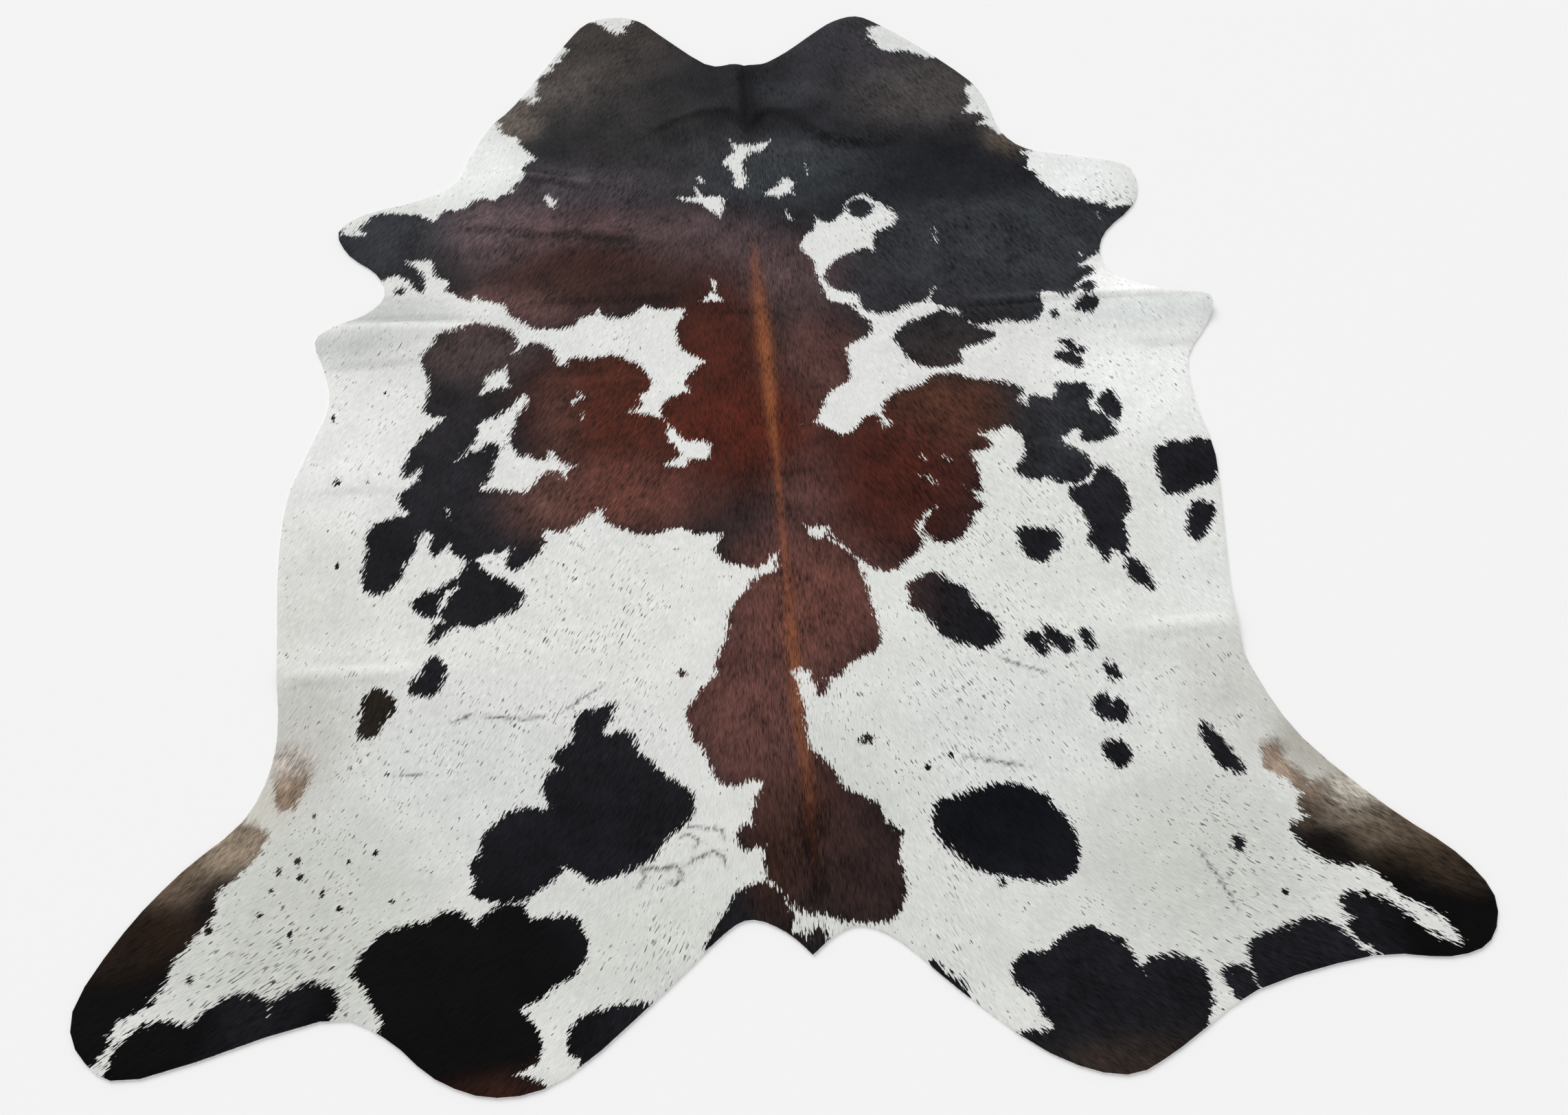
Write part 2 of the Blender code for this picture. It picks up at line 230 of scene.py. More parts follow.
# Everything from here to the functions is in centimetres.
# Patches of dark hair: x and y round each loop; a patch that reaches the cut edge runs past it
darkPatches = {
    "saddle": [
        (2, 98), (-12, 103.5), (-19, 113.5), (-25, 117), (-34, 116), (-38.5, 106.5), (-36.5, 104),
        (-36, 102.5), (-37.5, 101), (-37.5, 99.5), (-39.5, 98.5), (-39, 97), (-41, 95.5), (-42.5, 94.5),
        (-42, 92.5), (-43, 90.5), (-42.5, 89), (-41.5, 88), (-44, 86.5), (-44.5, 88), (-46.5, 88),
        (-48.5, 89), (-53, 84), (-51.5, 82), (-49.5, 81), (-50, 79.5), (-48.5, 78), (-46, 77),
        (-45.5, 75), (-44.5, 73.5), (-43, 71.5), (-42.5, 70), (-44, 68.5), (-44.5, 67), (-44, 65),
        (-45, 63.5), (-46.5, 62), (-46, 61), (-49, 60), (-50.5, 59), (-53, 59.5), (-55.5, 58),
        (-57, 56.5), (-60, 56.5), (-61.5, 54), (-62.5, 54), (-65, 55.5), (-69.5, 56.5), (-74, 56.5),
        (-75, 55), (-76.5, 53.5), (-75.5, 52), (-75, 51), (-78, 51), (-80, 51.5), (-80.5, 53), (-83, 53),
        (-83, 49), (-78, 43.5), (-72, 39.5), (-69, 40.5), (-66.5, 39.5), (-65, 37.5), (-63.5, 35.5),
        (-63, 37.5), (-63.5, 40), (-65, 42), (-67, 43.5), (-64.5, 44), (-62.5, 44), (-61.5, 43),
        (-61, 40), (-59, 39), (-58, 37.5), (-58.5, 36), (-56.5, 34.5), (-54.5, 33), (-53.5, 32.5),
        (-53, 34.5), (-51.5, 32.5), (-48, 31.5), (-46.5, 30), (-46, 28.5), (-43.5, 27), (-42, 25.5),
        (-37, 25), (-34, 25.5), (-33, 27), (-30.5, 28), (-29.5, 29), (-28.5, 28), (-27, 27), (-23, 27.5),
        (-21, 29.5), (-20, 29.5), (-18, 28.5), (-14, 28.5), (-12.5, 28), (-6, 22), (5, 22), (12, 31),
        (12.5, 37), (11.5, 40), (10, 42.5), (11, 45), (12.5, 46.5), (13.5, 48), (14, 51), (15, 49),
        (17.5, 49), (18.5, 50.5), (19.5, 51.5), (20, 53.5), (21.5, 55), (24, 56), (26, 54.5), (28, 52.5),
        (29.5, 50.5), (30.5, 49), (29, 46.5), (27, 45.5), (25.5, 45), (25, 43), (24.5, 40), (23.5, 41),
        (21, 40.5), (18, 39), (15.5, 36.5), (14.5, 34), (15.5, 32), (17.5, 30.5), (20.5, 29.5),
        (21, 26.5), (23, 25), (26, 24.5), (29, 26), (31.5, 26.5), (33.5, 27.5), (35.5, 30.5), (34.5, 28),
        (35, 26), (36.5, 25), (39.5, 23.5), (40, 21.5), (42, 20.5), (45, 20.5), (48, 21), (52, 20.5),
        (54, 21.5), (55, 23.5), (55, 27), (57, 27), (60, 26), (62.5, 27), (62, 28.5), (63, 29.5),
        (65, 31), (66.5, 32), (66.5, 33), (65, 33.5), (64, 34), (66, 35.5), (69, 37.5), (73, 39),
        (75, 44), (80, 49), (77.5, 49), (76, 49), (74, 48.5), (72.5, 49), (72.5, 50), (70, 50),
        (67.5, 51.5), (66, 52), (63.5, 52), (63, 53.5), (62, 54.5), (60.5, 56.5), (60, 58), (59.5, 59.5),
        (57.5, 61), (58.5, 62.5), (58.5, 64), (57.5, 65.5), (60.5, 67), (57.5, 71), (54, 71), (52, 73.5),
        (50, 74.5), (51.5, 75.5), (51, 77), (50, 77.5), (48, 77.5), (47.5, 78.5), (49, 81), (49, 82.5),
        (48.5, 85.5), (49.5, 86.5), (52, 87.5), (47, 95), (43.5, 95.5), (41.5, 95.5), (39, 97), (37, 98),
        (34, 98), (31.5, 99.5), (31, 101.5), (29.5, 103), (30, 104.5), (30, 106.5), (33, 107.5),
        (30.5, 112), (24, 114), (14, 107), (6, 100),
    ],
    "backbone column": [
        (-6, 33), (-12, 29), (-12.5, 27.5), (-13.5, 25.5), (-14.5, 23.5), (-14, 21), (-14, 19.5),
        (-12.5, 17.5), (-10.5, 16), (-9, 15), (-11, 13.5), (-12.5, 12), (-13, 10), (-12, 7.5), (-13.5, 8),
        (-15.5, 7), (-17.5, 5.5), (-17.5, 3), (-16.5, 1.5), (-15, -0.5), (-14, -2), (-12, -2.5),
        (-10, -2.5), (-9, -4.5), (-10, -7), (-13, -7), (-14, -12), (-8, -22), (-8, -23.5), (-9, -25.5),
        (-8, -27.5), (-6, -28.5), (-3.5, -29), (-2, -29.5), (0, -27.5), (2, -26), (6, -22), (8, -12),
        (6, -2), (9.5, 0), (11, 3), (12.5, 6), (14, 7.5), (16.5, 9), (17, 11), (17, 14), (17, 17),
        (19.5, 18.5), (21.5, 19.5), (22, 22), (20.5, 24), (19, 26.5), (16.5, 27.5), (15, 28), (13.5, 31),
        (11, 36),
    ],
    "left barrel": [
        (-3, -18), (-8, -10), (-10, -8.5), (-17.5, -8), (-15.5, -6), (-15, -5), (-16, -3.5), (-17.5, -1),
        (-16.5, 1), (-18, 2.5), (-22, 4), (-24, 4.5), (-23, 5), (-21.5, 6), (-22, 8), (-20, 9.5),
        (-20, 11), (-20.5, 13), (-22, 15), (-24, 16.5), (-26.5, 17.5), (-31.5, 17), (-34, 17.5),
        (-35, 16), (-37, 16.5), (-37.5, 19), (-39, 20.5), (-40.5, 21.5), (-42, 21.5), (-43.5, 20.5),
        (-44.5, 19.5), (-45.5, 19.5), (-44.5, 21.5), (-45, 23), (-46, 24.5), (-48, 25.5), (-50, 26),
        (-52, 26.5), (-54, 26), (-56.5, 25), (-59, 24.5), (-60, 22.5), (-61, 21.5), (-62, 19.5),
        (-61.5, 17.5), (-61, 16), (-60, 14), (-60, 12), (-60.5, 9), (-60.5, 7), (-58.5, 6), (-57, 6),
        (-57.5, 4.5), (-60, 2.5), (-61.5, 0), (-62.5, -1.5), (-62.5, -3), (-63.5, -4.5), (-63, -7),
        (-61.5, -6), (-60.5, -5), (-60.5, -7), (-62, -9.5), (-63.5, -10.5), (-63.5, -12), (-63, -13.5),
        (-62, -15), (-64.5, -15.5), (-67, -16.5), (-68.5, -18.5), (-68.5, -23), (-68.5, -28), (-67, -30),
        (-65, -30), (-62.5, -27.5), (-62, -25), (-60.5, -22.5), (-60, -19.5), (-58.5, -18.5),
        (-57.5, -19.5), (-57.5, -21.5), (-57, -23.5), (-55.5, -22), (-54.5, -21), (-54, -23), (-52, -24),
        (-51, -25), (-48, -23.5), (-46, -23.5), (-44, -23), (-44.5, -26), (-43, -27), (-41, -25.5),
        (-39.5, -24), (-38.5, -22), (-39, -20), (-38, -19.5), (-35, -20), (-33, -18.5), (-31, -17),
        (-28.5, -15.5), (-28, -17.5), (-27, -19), (-25, -20), (-23, -21), (-20, -21.5), (-16, -20.5),
        (-14, -21), (-12, -22), (-9.5, -22), (-7.5, -22),
    ],
    "left flank": [
        (-51, -24.5), (-49.5, -25.5), (-48.5, -27), (-46.5, -28.5), (-44.5, -29.5), (-42.5, -31),
        (-41.5, -32.5), (-43.5, -35), (-47, -36.5), (-49.5, -37.5), (-52, -37), (-54, -38), (-56.5, -40),
        (-56, -37), (-54.5, -36.5), (-55.5, -35), (-57.5, -35), (-60, -33), (-58.5, -31), (-55.5, -30),
        (-53.5, -28.5), (-52, -27),
    ],
    "right barrel": [
        (2, -10), (5, -1), (9, 0), (12.5, -2), (14.5, -3.5), (16.5, -2.5), (18, -1), (19.5, 0.5),
        (21.5, 0.5), (21.5, -1), (22.5, -2.5), (23.5, -1), (22.5, 1), (23, 3.5), (24.5, 5), (26, 6),
        (29, 6.5), (31, 7.5), (32, 8.5), (34, 9), (36.5, 9), (38.5, 8), (43, 7), (45.5, 6.5), (48, 5),
        (48, 3.5), (47, 2.5), (49, 0.5), (49, 3), (51, 3), (53, 2), (55, 4), (54.5, 5.5), (57.5, 5.5),
        (59.5, 5.5), (60.5, 4.5), (61, 3), (60, 1.5), (60, -1), (62, -1.5), (63, -3.5), (63.5, -6),
        (61.5, -7), (60, -7.5), (57.5, -7), (57, -5), (56, -4.5), (55, -5.5), (53, -6.5), (54, -8),
        (56, -9.5), (57.5, -11), (58, -13.5), (57.5, -14.5), (55.5, -16), (53.5, -16), (51.5, -15.5),
        (49.5, -14.5), (47.5, -15), (45.5, -14), (44.5, -12.5), (46.5, -10), (47, -7), (46.5, -5),
        (44, -3), (42, -4), (39.5, -4), (39, -5), (40.5, -6), (40.5, -7.5), (38.5, -8), (37, -8.5),
        (37, -10), (37.5, -12), (37.5, -14), (38, -16.5), (36, -16.5), (34.5, -15.5), (36, -17.5),
        (37.5, -20), (35.5, -21), (35, -23), (33.5, -25), (32.5, -26), (30.5, -26.5), (28.5, -26),
        (27, -24.5), (27.5, -21.5), (29.5, -19.5), (27.5, -20.5), (25.5, -22.5), (25.5, -24), (26, -26.5),
        (24.5, -28.5), (23, -29.5), (20.5, -31.5), (18, -31), (16, -29.5), (14.5, -28), (12, -25.5),
        (10, -24), (4, -20),
    ],
    "loin and croup": [
        (2, -20), (9, -24), (11.5, -26), (13.5, -28), (14.5, -30), (15.5, -33.5), (16, -37.5),
        (16.5, -41), (17, -44.5), (15.5, -46.5), (13, -47.5), (11, -48.5), (10, -50), (8, -50.5),
        (7.5, -52), (6.5, -53.5), (5.5, -50.5), (5, -49.5), (3.5, -48.5), (2, -49), (2.5, -50.5),
        (3, -53.5), (3.5, -56.5), (3.5, -60), (4, -63), (6, -65), (7.5, -67), (8.5, -69), (9.5, -70),
        (11.5, -71), (13.5, -72.5), (14.5, -75), (16, -76.5), (17, -77), (16, -78.5), (16, -81.5),
        (16.5, -84), (16, -86.5), (15, -89), (13, -90), (10, -90), (7, -89.5), (5.5, -89), (3.5, -88),
        (1.5, -88), (0, -87), (-1.5, -85.5), (-3, -83.5), (-4, -82), (-4, -80), (-4, -78), (-5, -77.5),
        (-7, -78), (-8, -76.5), (-7, -74.5), (-5.5, -74.5), (-5.5, -73), (-5, -71), (-4, -69),
        (-3.5, -67.5), (-5.5, -67), (-7, -67.5), (-9, -67.5), (-10.5, -66.5), (-11.5, -64),
        (-12.5, -61.5), (-14, -59.5), (-14.5, -57), (-15, -55), (-13.5, -53), (-12, -51), (-10, -49),
        (-10, -47), (-9, -45), (-8, -42.5), (-7.5, -40), (-7, -37.5), (-6, -36), (-5, -34.5),
        (-3.5, -32.5), (-2, -31.5), (0, -31), (1, -30), (1.5, -27),
    ],
    "right elbow": [
        (34, 23.5), (36, 24), (38, 23), (40, 22), (41, 20.5), (44, 19), (45, 18), (43.5, 16.5),
        (41.5, 16), (38.5, 15), (38, 13.5), (38, 12), (35, 11), (31, 11.5), (29, 13), (28, 14.5),
        (27, 16.5), (26.5, 19), (27.5, 20), (29, 21.5), (31.5, 22.5),
    ],
    "right barrel low": [
        (60, -13), (61.5, -15), (62.5, -17), (63, -20), (62.5, -22.5), (61.5, -23.5), (61, -26),
        (61, -28.5), (60.5, -31.5), (59, -30), (58, -30), (57, -32), (56, -30), (54.5, -28), (55.5, -26),
        (55, -23.5), (54.5, -21.5), (53, -19), (54, -17), (57, -16.5), (58, -15), (59, -13.5),
    ],
    "armpit fleck": [
        (61, 22.5), (63, 25), (64, 25.5), (65.5, 25), (66, 24), (64.5, 22), (63, 22),
    ],
    "armpit spot": [
        (62.5, 27.5), (64, 29), (65.5, 29.5), (66, 28), (65.5, 27), (64.5, 26), (63.5, 27),
    ],
    "twin upper": [
        (57, 15.5), (59, 15.5), (60, 14), (61.5, 13.5), (61, 12.5), (59.5, 12.5), (58.5, 13.5),
        (58, 14.5),
    ],
    "twin lower": [
        (56, 12.5), (57.5, 13), (59.5, 12), (60.5, 10.5), (60, 9.5), (58.5, 10), (57, 11), (56, 11.5),
    ],
    "barrel sliver": [
        (64, 3.5), (65, 2), (65.5, -0.5), (64.5, -3), (63, -2), (61.5, 0.5), (62.5, 2),
    ],
    "band end": [
        (60, -33), (61, -32), (62.5, -33.5), (63.5, -36), (63.5, -38), (62, -37), (60.5, -36),
    ],
    "belly square": [
        (43, -25), (45, -25), (48.5, -25.5), (49.5, -26.5), (49.5, -29), (48, -29.5), (47, -31),
        (46, -31.5), (44, -30.5), (43, -28.5),
    ],
    "trio first": [
        (41, -45), (43, -45), (44, -47), (44, -48), (43.5, -49), (42, -48), (41, -46),
    ],
    "trio second": [
        (44, -44), (45.5, -44.5), (46.5, -46), (48, -46.5), (48, -48.5), (47, -49), (46, -48),
        (44.5, -46.5),
    ],
    "trio third": [
        (50, -45), (51, -45.5), (52, -47.5), (51.5, -48.5), (50.5, -48), (50, -46),
    ],
    "flank chip": [
        (53, -51), (54, -51.5), (55, -53), (54, -54), (53, -52.5),
    ],
    "flank heart": [
        (50, -57.5), (51.5, -56.5), (52.5, -57), (52.5, -58.5), (53.5, -57.5), (54.5, -58), (55, -60),
        (54, -61.5), (53, -61), (51, -60.5), (50, -59.5),
    ],
    "thigh spot": [
        (50, -65), (51.5, -64.5), (53, -65), (54, -66.5), (53.5, -68), (52, -69), (51, -68), (50, -66.5),
    ],
    "thigh bar": [
        (66.5, -62.5), (67.5, -63.5), (69, -66), (70, -68), (71, -70.5), (70, -71), (68, -70), (67, -68),
        (66, -65.5), (66, -63.5),
    ],
    "right belly": [
        (70, -10), (72, -9.5), (72.5, -8.5), (76, -9), (77.5, -8), (79, -9), (83, -9), (83, -15.5),
        (80, -15.5), (78.5, -17.5), (76.5, -18), (74.5, -18.5), (73.5, -19.5), (72, -19.5), (70, -19.5),
        (69.5, -17), (69.5, -13.5),
    ],
    "right belly low": [
        (74.5, -21.5), (77, -22), (77.5, -23.5), (76, -26), (74.5, -28), (73, -29), (72, -27.5),
        (72.5, -25.5), (73, -23.5),
    ],
    "loin oval": [
        (25, -33.5), (27, -32.5), (30, -34.5), (32.5, -36.5), (33, -38.5), (35, -40.5), (36.5, -43),
        (36.5, -45.5), (34, -47), (31, -46), (28, -45), (26.5, -42.5), (24.5, -40), (23, -38.5),
        (23, -36), (22.5, -34.5),
    ],
    "rump oval": [
        (29.5, -71), (33, -70.5), (36, -71), (39, -72.5), (40.5, -74.5), (42.5, -77.5), (43, -80),
        (42.5, -83.5), (40.5, -85.5), (37.5, -86), (33.5, -85), (29.5, -84), (26.5, -82.5), (24, -80),
        (22, -77.5), (22, -75), (23, -72.5), (26, -72),
    ],
    "right buttock": [
        (32, -96.5), (36, -96), (38, -94.5), (40, -93.5), (42, -93), (44.5, -94), (47, -95.5), (48, -98),
        (49, -100), (49.5, -99), (51.5, -98), (54.5, -98), (57, -99), (58, -101), (58, -104.5),
        (57, -106.5), (56, -109), (50, -115), (42, -117), (34, -113), (29, -108), (31, -107), (35, -107),
        (34, -104.5), (33, -102), (31, -100.5), (30.5, -98.5),
    ],
    "rump edge": [
        (19, -96.5), (20.5, -98), (22.5, -99.5), (24, -102), (22, -103), (18, -99),
    ],
    "hollow spot": [
        (60.5, -100.5), (63, -100), (65, -101), (64.5, -102.5), (65.5, -104), (63, -106), (62, -104.5),
        (61, -102.5),
    ],
    "right hind band": [
        (65, -102), (65, -99.5), (65.5, -97), (67, -96), (69.5, -95.5), (73, -94.5), (75.5, -94),
        (78, -95), (79.5, -96.5), (81, -98.5), (82.5, -100), (82, -103), (70, -106), (66.5, -104.5),
    ],
    "right hind lobe": [
        (80, -92.5), (81, -91), (83, -91), (85.5, -91.5), (87.5, -92.5), (89.5, -94.5), (91, -96.5),
        (93, -98), (95.5, -99), (97.5, -100.5), (95, -103), (86, -102.5), (84, -99.5), (82, -98),
        (80.5, -96.5), (80.5, -95), (81.5, -94.5),
    ],
    "right shank": [
        (78, -77), (79, -75), (80.5, -73.5), (84, -72.5), (86, -70), (92, -76), (99, -82), (105, -88),
        (106, -95), (101, -102), (97.5, -100.5), (96, -97.5), (95, -95.5), (93, -93.5), (90.5, -92),
        (88.5, -90), (87, -88), (85, -86.5), (82.5, -86.5), (80, -85.5), (78, -84), (76.5, -82),
        (76, -80), (77.5, -79.5), (79, -78.5),
    ],
    "right thigh smudge": [
        (75, -67), (77, -66.5), (78, -68), (77.5, -69.5), (79, -71), (80, -72), (80.5, -74), (79, -75),
        (78, -73), (77, -72), (75, -71), (74.5, -70),
    ],
    "left flank spot": [
        (-55.5, -43), (-54, -44.5), (-54, -47), (-55, -49), (-57, -49.5), (-59, -49), (-59.5, -48),
        (-58.5, -47), (-57.5, -46), (-57, -44.5),
    ],
    "left thigh spot": [
        (-64.5, -48), (-62.5, -49), (-61.5, -51), (-62.5, -53), (-64, -55.5), (-66.5, -56), (-66.5, -54),
        (-66.5, -50.5), (-66, -49),
    ],
    "left hip": [
        (-26.5, -53), (-27.5, -55.5), (-28.5, -58), (-26, -58), (-24.5, -58), (-23.5, -59), (-23, -61.5),
        (-21, -63), (-19.5, -65), (-17, -67), (-15, -68.5), (-14.5, -70.5), (-15, -72.5), (-17, -74),
        (-19.5, -76.5), (-21, -78.5), (-24.5, -80), (-28, -81), (-30, -81), (-31.5, -80), (-34.5, -78.5),
        (-35, -80), (-37, -81.5), (-39.5, -83), (-42, -83.5), (-45, -83), (-47.5, -82), (-47, -80),
        (-48, -78), (-46.5, -76), (-46.5, -74), (-45, -72), (-42.5, -70), (-40, -69.5), (-37, -70),
        (-36.5, -69), (-37.5, -66), (-36.5, -64), (-35, -63), (-36, -61.5), (-34.5, -60), (-33, -59),
        (-32.5, -55), (-30.5, -54), (-28.5, -53.5),
    ],
    "left buttock": [
        (-42, -84), (-40, -84.5), (-39, -86.5), (-36, -86.5), (-32.5, -86.5), (-31.5, -88.5),
        (-30.5, -90.5), (-31, -92.5), (-32.5, -94.5), (-35, -96), (-38, -98), (-40, -99), (-38.5, -101),
        (-37.5, -102.5), (-37, -104.5), (-38, -106.5), (-40.5, -107.5), (-38.5, -108.5), (-36.5, -109.5),
        (-38, -112), (-48, -113), (-55, -107.5), (-60, -102.5), (-59, -99.5), (-61, -97), (-62, -94.5),
        (-64, -92.5), (-62.5, -89.5), (-60.5, -87.5), (-58, -86.5), (-53, -85.5), (-51.5, -84.5),
        (-49.5, -85), (-47.5, -86), (-47, -87), (-46, -86), (-44, -84.5),
    ],
    "left rump edge": [
        (-22.5, -99.5), (-25, -99.5), (-28, -100), (-30.5, -100.5), (-32.5, -102), (-33, -105),
        (-31.5, -106), (-30, -108), (-22, -103), (-21, -100.5),
    ],
    "left shank": [
        (-83.5, -68.5), (-81, -69.5), (-79, -71), (-80, -73), (-80.5, -74.5), (-83.5, -77.5),
        (-85.5, -79.5), (-85.5, -82.5), (-88, -86), (-90.5, -89.5), (-90.5, -91), (-93, -95),
        (-96, -96.5), (-97.5, -98), (-97.5, -100), (-99, -102.5), (-102, -103.5), (-106, -97),
        (-103, -86), (-97, -78.5), (-90, -72), (-85.5, -68.5),
    ],
    "left thigh smudge": [
        (-79.4, -58), (-76.5, -57), (-74, -58.5), (-73.6, -61), (-74, -63.5), (-75.6, -66.6),
        (-77.2, -67), (-78.2, -65.8), (-78.8, -62),
    ],
    "left hind band": [
        (-96.5, -103), (-96.5, -101.5), (-95.5, -100), (-93.5, -98), (-91, -97.5), (-89, -97.5),
        (-86.5, -98.5), (-85, -97), (-83, -95.5), (-80.5, -94.5), (-78, -94.5), (-76, -95.5),
        (-75.5, -97.5), (-75, -96), (-73, -94.5), (-70.5, -93.5), (-68, -94), (-66.5, -95), (-66, -97),
        (-67, -99), (-68, -101), (-78, -103.5), (-90, -107), (-97, -106),
    ],
    "tail side": [
        (-12.5, -90.5), (-10.5, -88), (-9.5, -86), (-8, -84.5), (-6, -83.5), (-4, -83.5), (-2.5, -84.5),
        (-1.5, -86.5), (-0.5, -88.5), (-1, -90.5), (-3, -92.5), (-9, -92), (-13, -92.5),
    ],
    "tail tip": [
        (-1.5, -92), (0, -91), (1.5, -92), (2, -91), (3.5, -90.5), (4, -92), (3, -95), (1, -95),
    ],
}

# Patches of white hair inside the dark ones
whitePatches = {
    "crown cap": [
        (-33, 113.5), (-30, 111.5), (-28, 110), (-27, 108.5), (-26, 108), (-25.5, 107), (-25, 108),
        (-23, 108.5), (-23.5, 110), (-22, 111.5), (-21, 117), (-32, 117),
    ],
    "withers branch": [
        (-2.5, 73.5), (-1, 72), (1, 71.5), (3.5, 71.5), (6.5, 72.5), (5, 70), (4, 69), (2, 69), (0.5, 66),
        (0.5, 63), (1, 60), (-1, 59), (-2, 60.5), (-2, 63), (-3, 65), (-4, 66.5), (-3, 68.5), (-1.5, 70),
    ],
    "withers left": [
        (-14, 57.5), (-12, 57.5), (-10, 57.5), (-10, 60.5), (-9, 59), (-8, 57.5), (-6, 57.5), (-4, 56.5),
        (-4, 54.5), (-5, 51), (-6, 52), (-8, 54), (-9.5, 55.5), (-12, 56),
    ],
    "withers fleck": [
        (-9.5, 63), (-8.5, 63), (-8, 61), (-9, 61),
    ],
    "withers right": [
        (4, 58), (5.5, 58.5), (7, 59.5), (8, 61.5), (9, 61.5), (10.5, 60), (10, 58.5), (10.5, 56),
        (9.5, 57), (8, 56.5), (7, 55.5), (6, 56.5), (4.5, 56.5),
    ],
    "withers dash": [
        (8, 53), (8.5, 52), (9.5, 50.5), (9, 49.5), (8, 50.5),
    ],
    "shoulder fleck": [
        (-40.5, 58.5), (-39.5, 59.5), (-38.5, 58.5), (-37.5, 57.5), (-38.5, 56), (-39.5, 57),
    ],
    "saddle island": [
        (-8, 36), (-7, 35), (-6, 34), (-6.5, 32), (-5.5, 29.5), (-7.5, 29.5), (-10, 29.5), (-8.5, 31),
        (-7.5, 32.5), (-7.5, 34),
    ],
    "elbow window": [
        (-46, 17), (-47.5, 16), (-50.5, 14), (-50, 13), (-51, 10), (-48.5, 11), (-46.5, 11.5),
        (-45.5, 11), (-45.5, 13), (-46, 15),
    ],
    "barrel window": [
        (-43, 10), (-42, 9), (-42, 7), (-43, 6), (-44, 3.5), (-44.5, 1.5), (-45, 0), (-44, -2.5),
        (-43, -4), (-42, -3.5), (-40, -4.5), (-38.5, -4.5), (-37.5, -3), (-36, -5), (-35, -6),
        (-33, -6.5), (-34.5, -8), (-35, -9.5), (-36, -8), (-37.5, -7.5), (-39, -8.5), (-40.5, -10.5),
        (-42, -12), (-44, -11.5), (-48, -11), (-50, -10.5), (-48.5, -8.5), (-48, -6), (-47.5, -4),
        (-47, -1.5), (-49, -1), (-50.5, -2.5), (-52.5, -3), (-55, -4.5), (-53.5, -3), (-52, -1), (-51, 1),
        (-51, 3), (-50, 4.5), (-48, 5), (-46, 6.5), (-45, 7.5),
    ],
    "barrel fleck": [
        (-33.5, 10.5), (-32, 8.5), (-32.5, 8), (-34, 7), (-34, 8), (-33, 9),
    ],
    "flank slit": [
        (-52.5, -29), (-53, -31), (-54.5, -33.5), (-55.5, -35), (-56, -33.5), (-55, -31.5), (-54, -30),
    ],
    "loin slit": [
        (6, -21.5), (7, -22), (10.5, -22), (10, -24), (8.5, -24.5), (7, -24),
    ],
}

# Round and oval dots of dark hair: x, y, half across, half along
darkDots = [
    (57.2, 21.5, 0.9, 0.9), (67.3, -82.3, 1.0, 1.2), (72.5, -89.9, 0.4, 0.5), (13.2, -61.7, 1.2, 0.8),
    (30.7, -86.0, 0.6, 0.5), (26.0, -65.0, 0.5, 0.5), (22.0, -67.0, 0.5, 0.5), (23.0, 52.0, 2.6, 2.8),
    (-75.0, -7.4, 0.5, 1.0), (-77.1, 6.6, 0.35, 0.8), (-68.2, 11.8, 0.3, 0.4), (-73.2, -24.5, 0.35, 0.6),
    (-69.7, -7.6, 0.25, 0.4), (-71.6, -4.9, 0.2, 0.4), (-15.5, -48.2, 0.8, 0.6), (-76.5, -76.8, 0.4, 0.8),
    (-73.9, -75.3, 0.45, 0.5), (-73.3, -77.9, 0.5, 0.55), (-69.7, -80.5, 0.35, 0.55),
    (-66.9, -83.0, 0.45, 0.4), (-59.3, -82.4, 0.4, 0.4), (-62.4, -74.9, 0.4, 0.5),
    (-78.7, -83.1, 0.5, 0.5), (-73.7, -86.2, 0.35, 0.7), (-72.2, -68.4, 0.25, 0.35),
    (-66.3, -75.9, 0.25, 0.4), (-77.3, -79.6, 0.3, 0.3), (-85.5, -85.0, 0.5, 0.5),
    (-87.3, -91.8, 0.5, 0.5), (-67.5, 36.0, 1.0, 0.9),
]

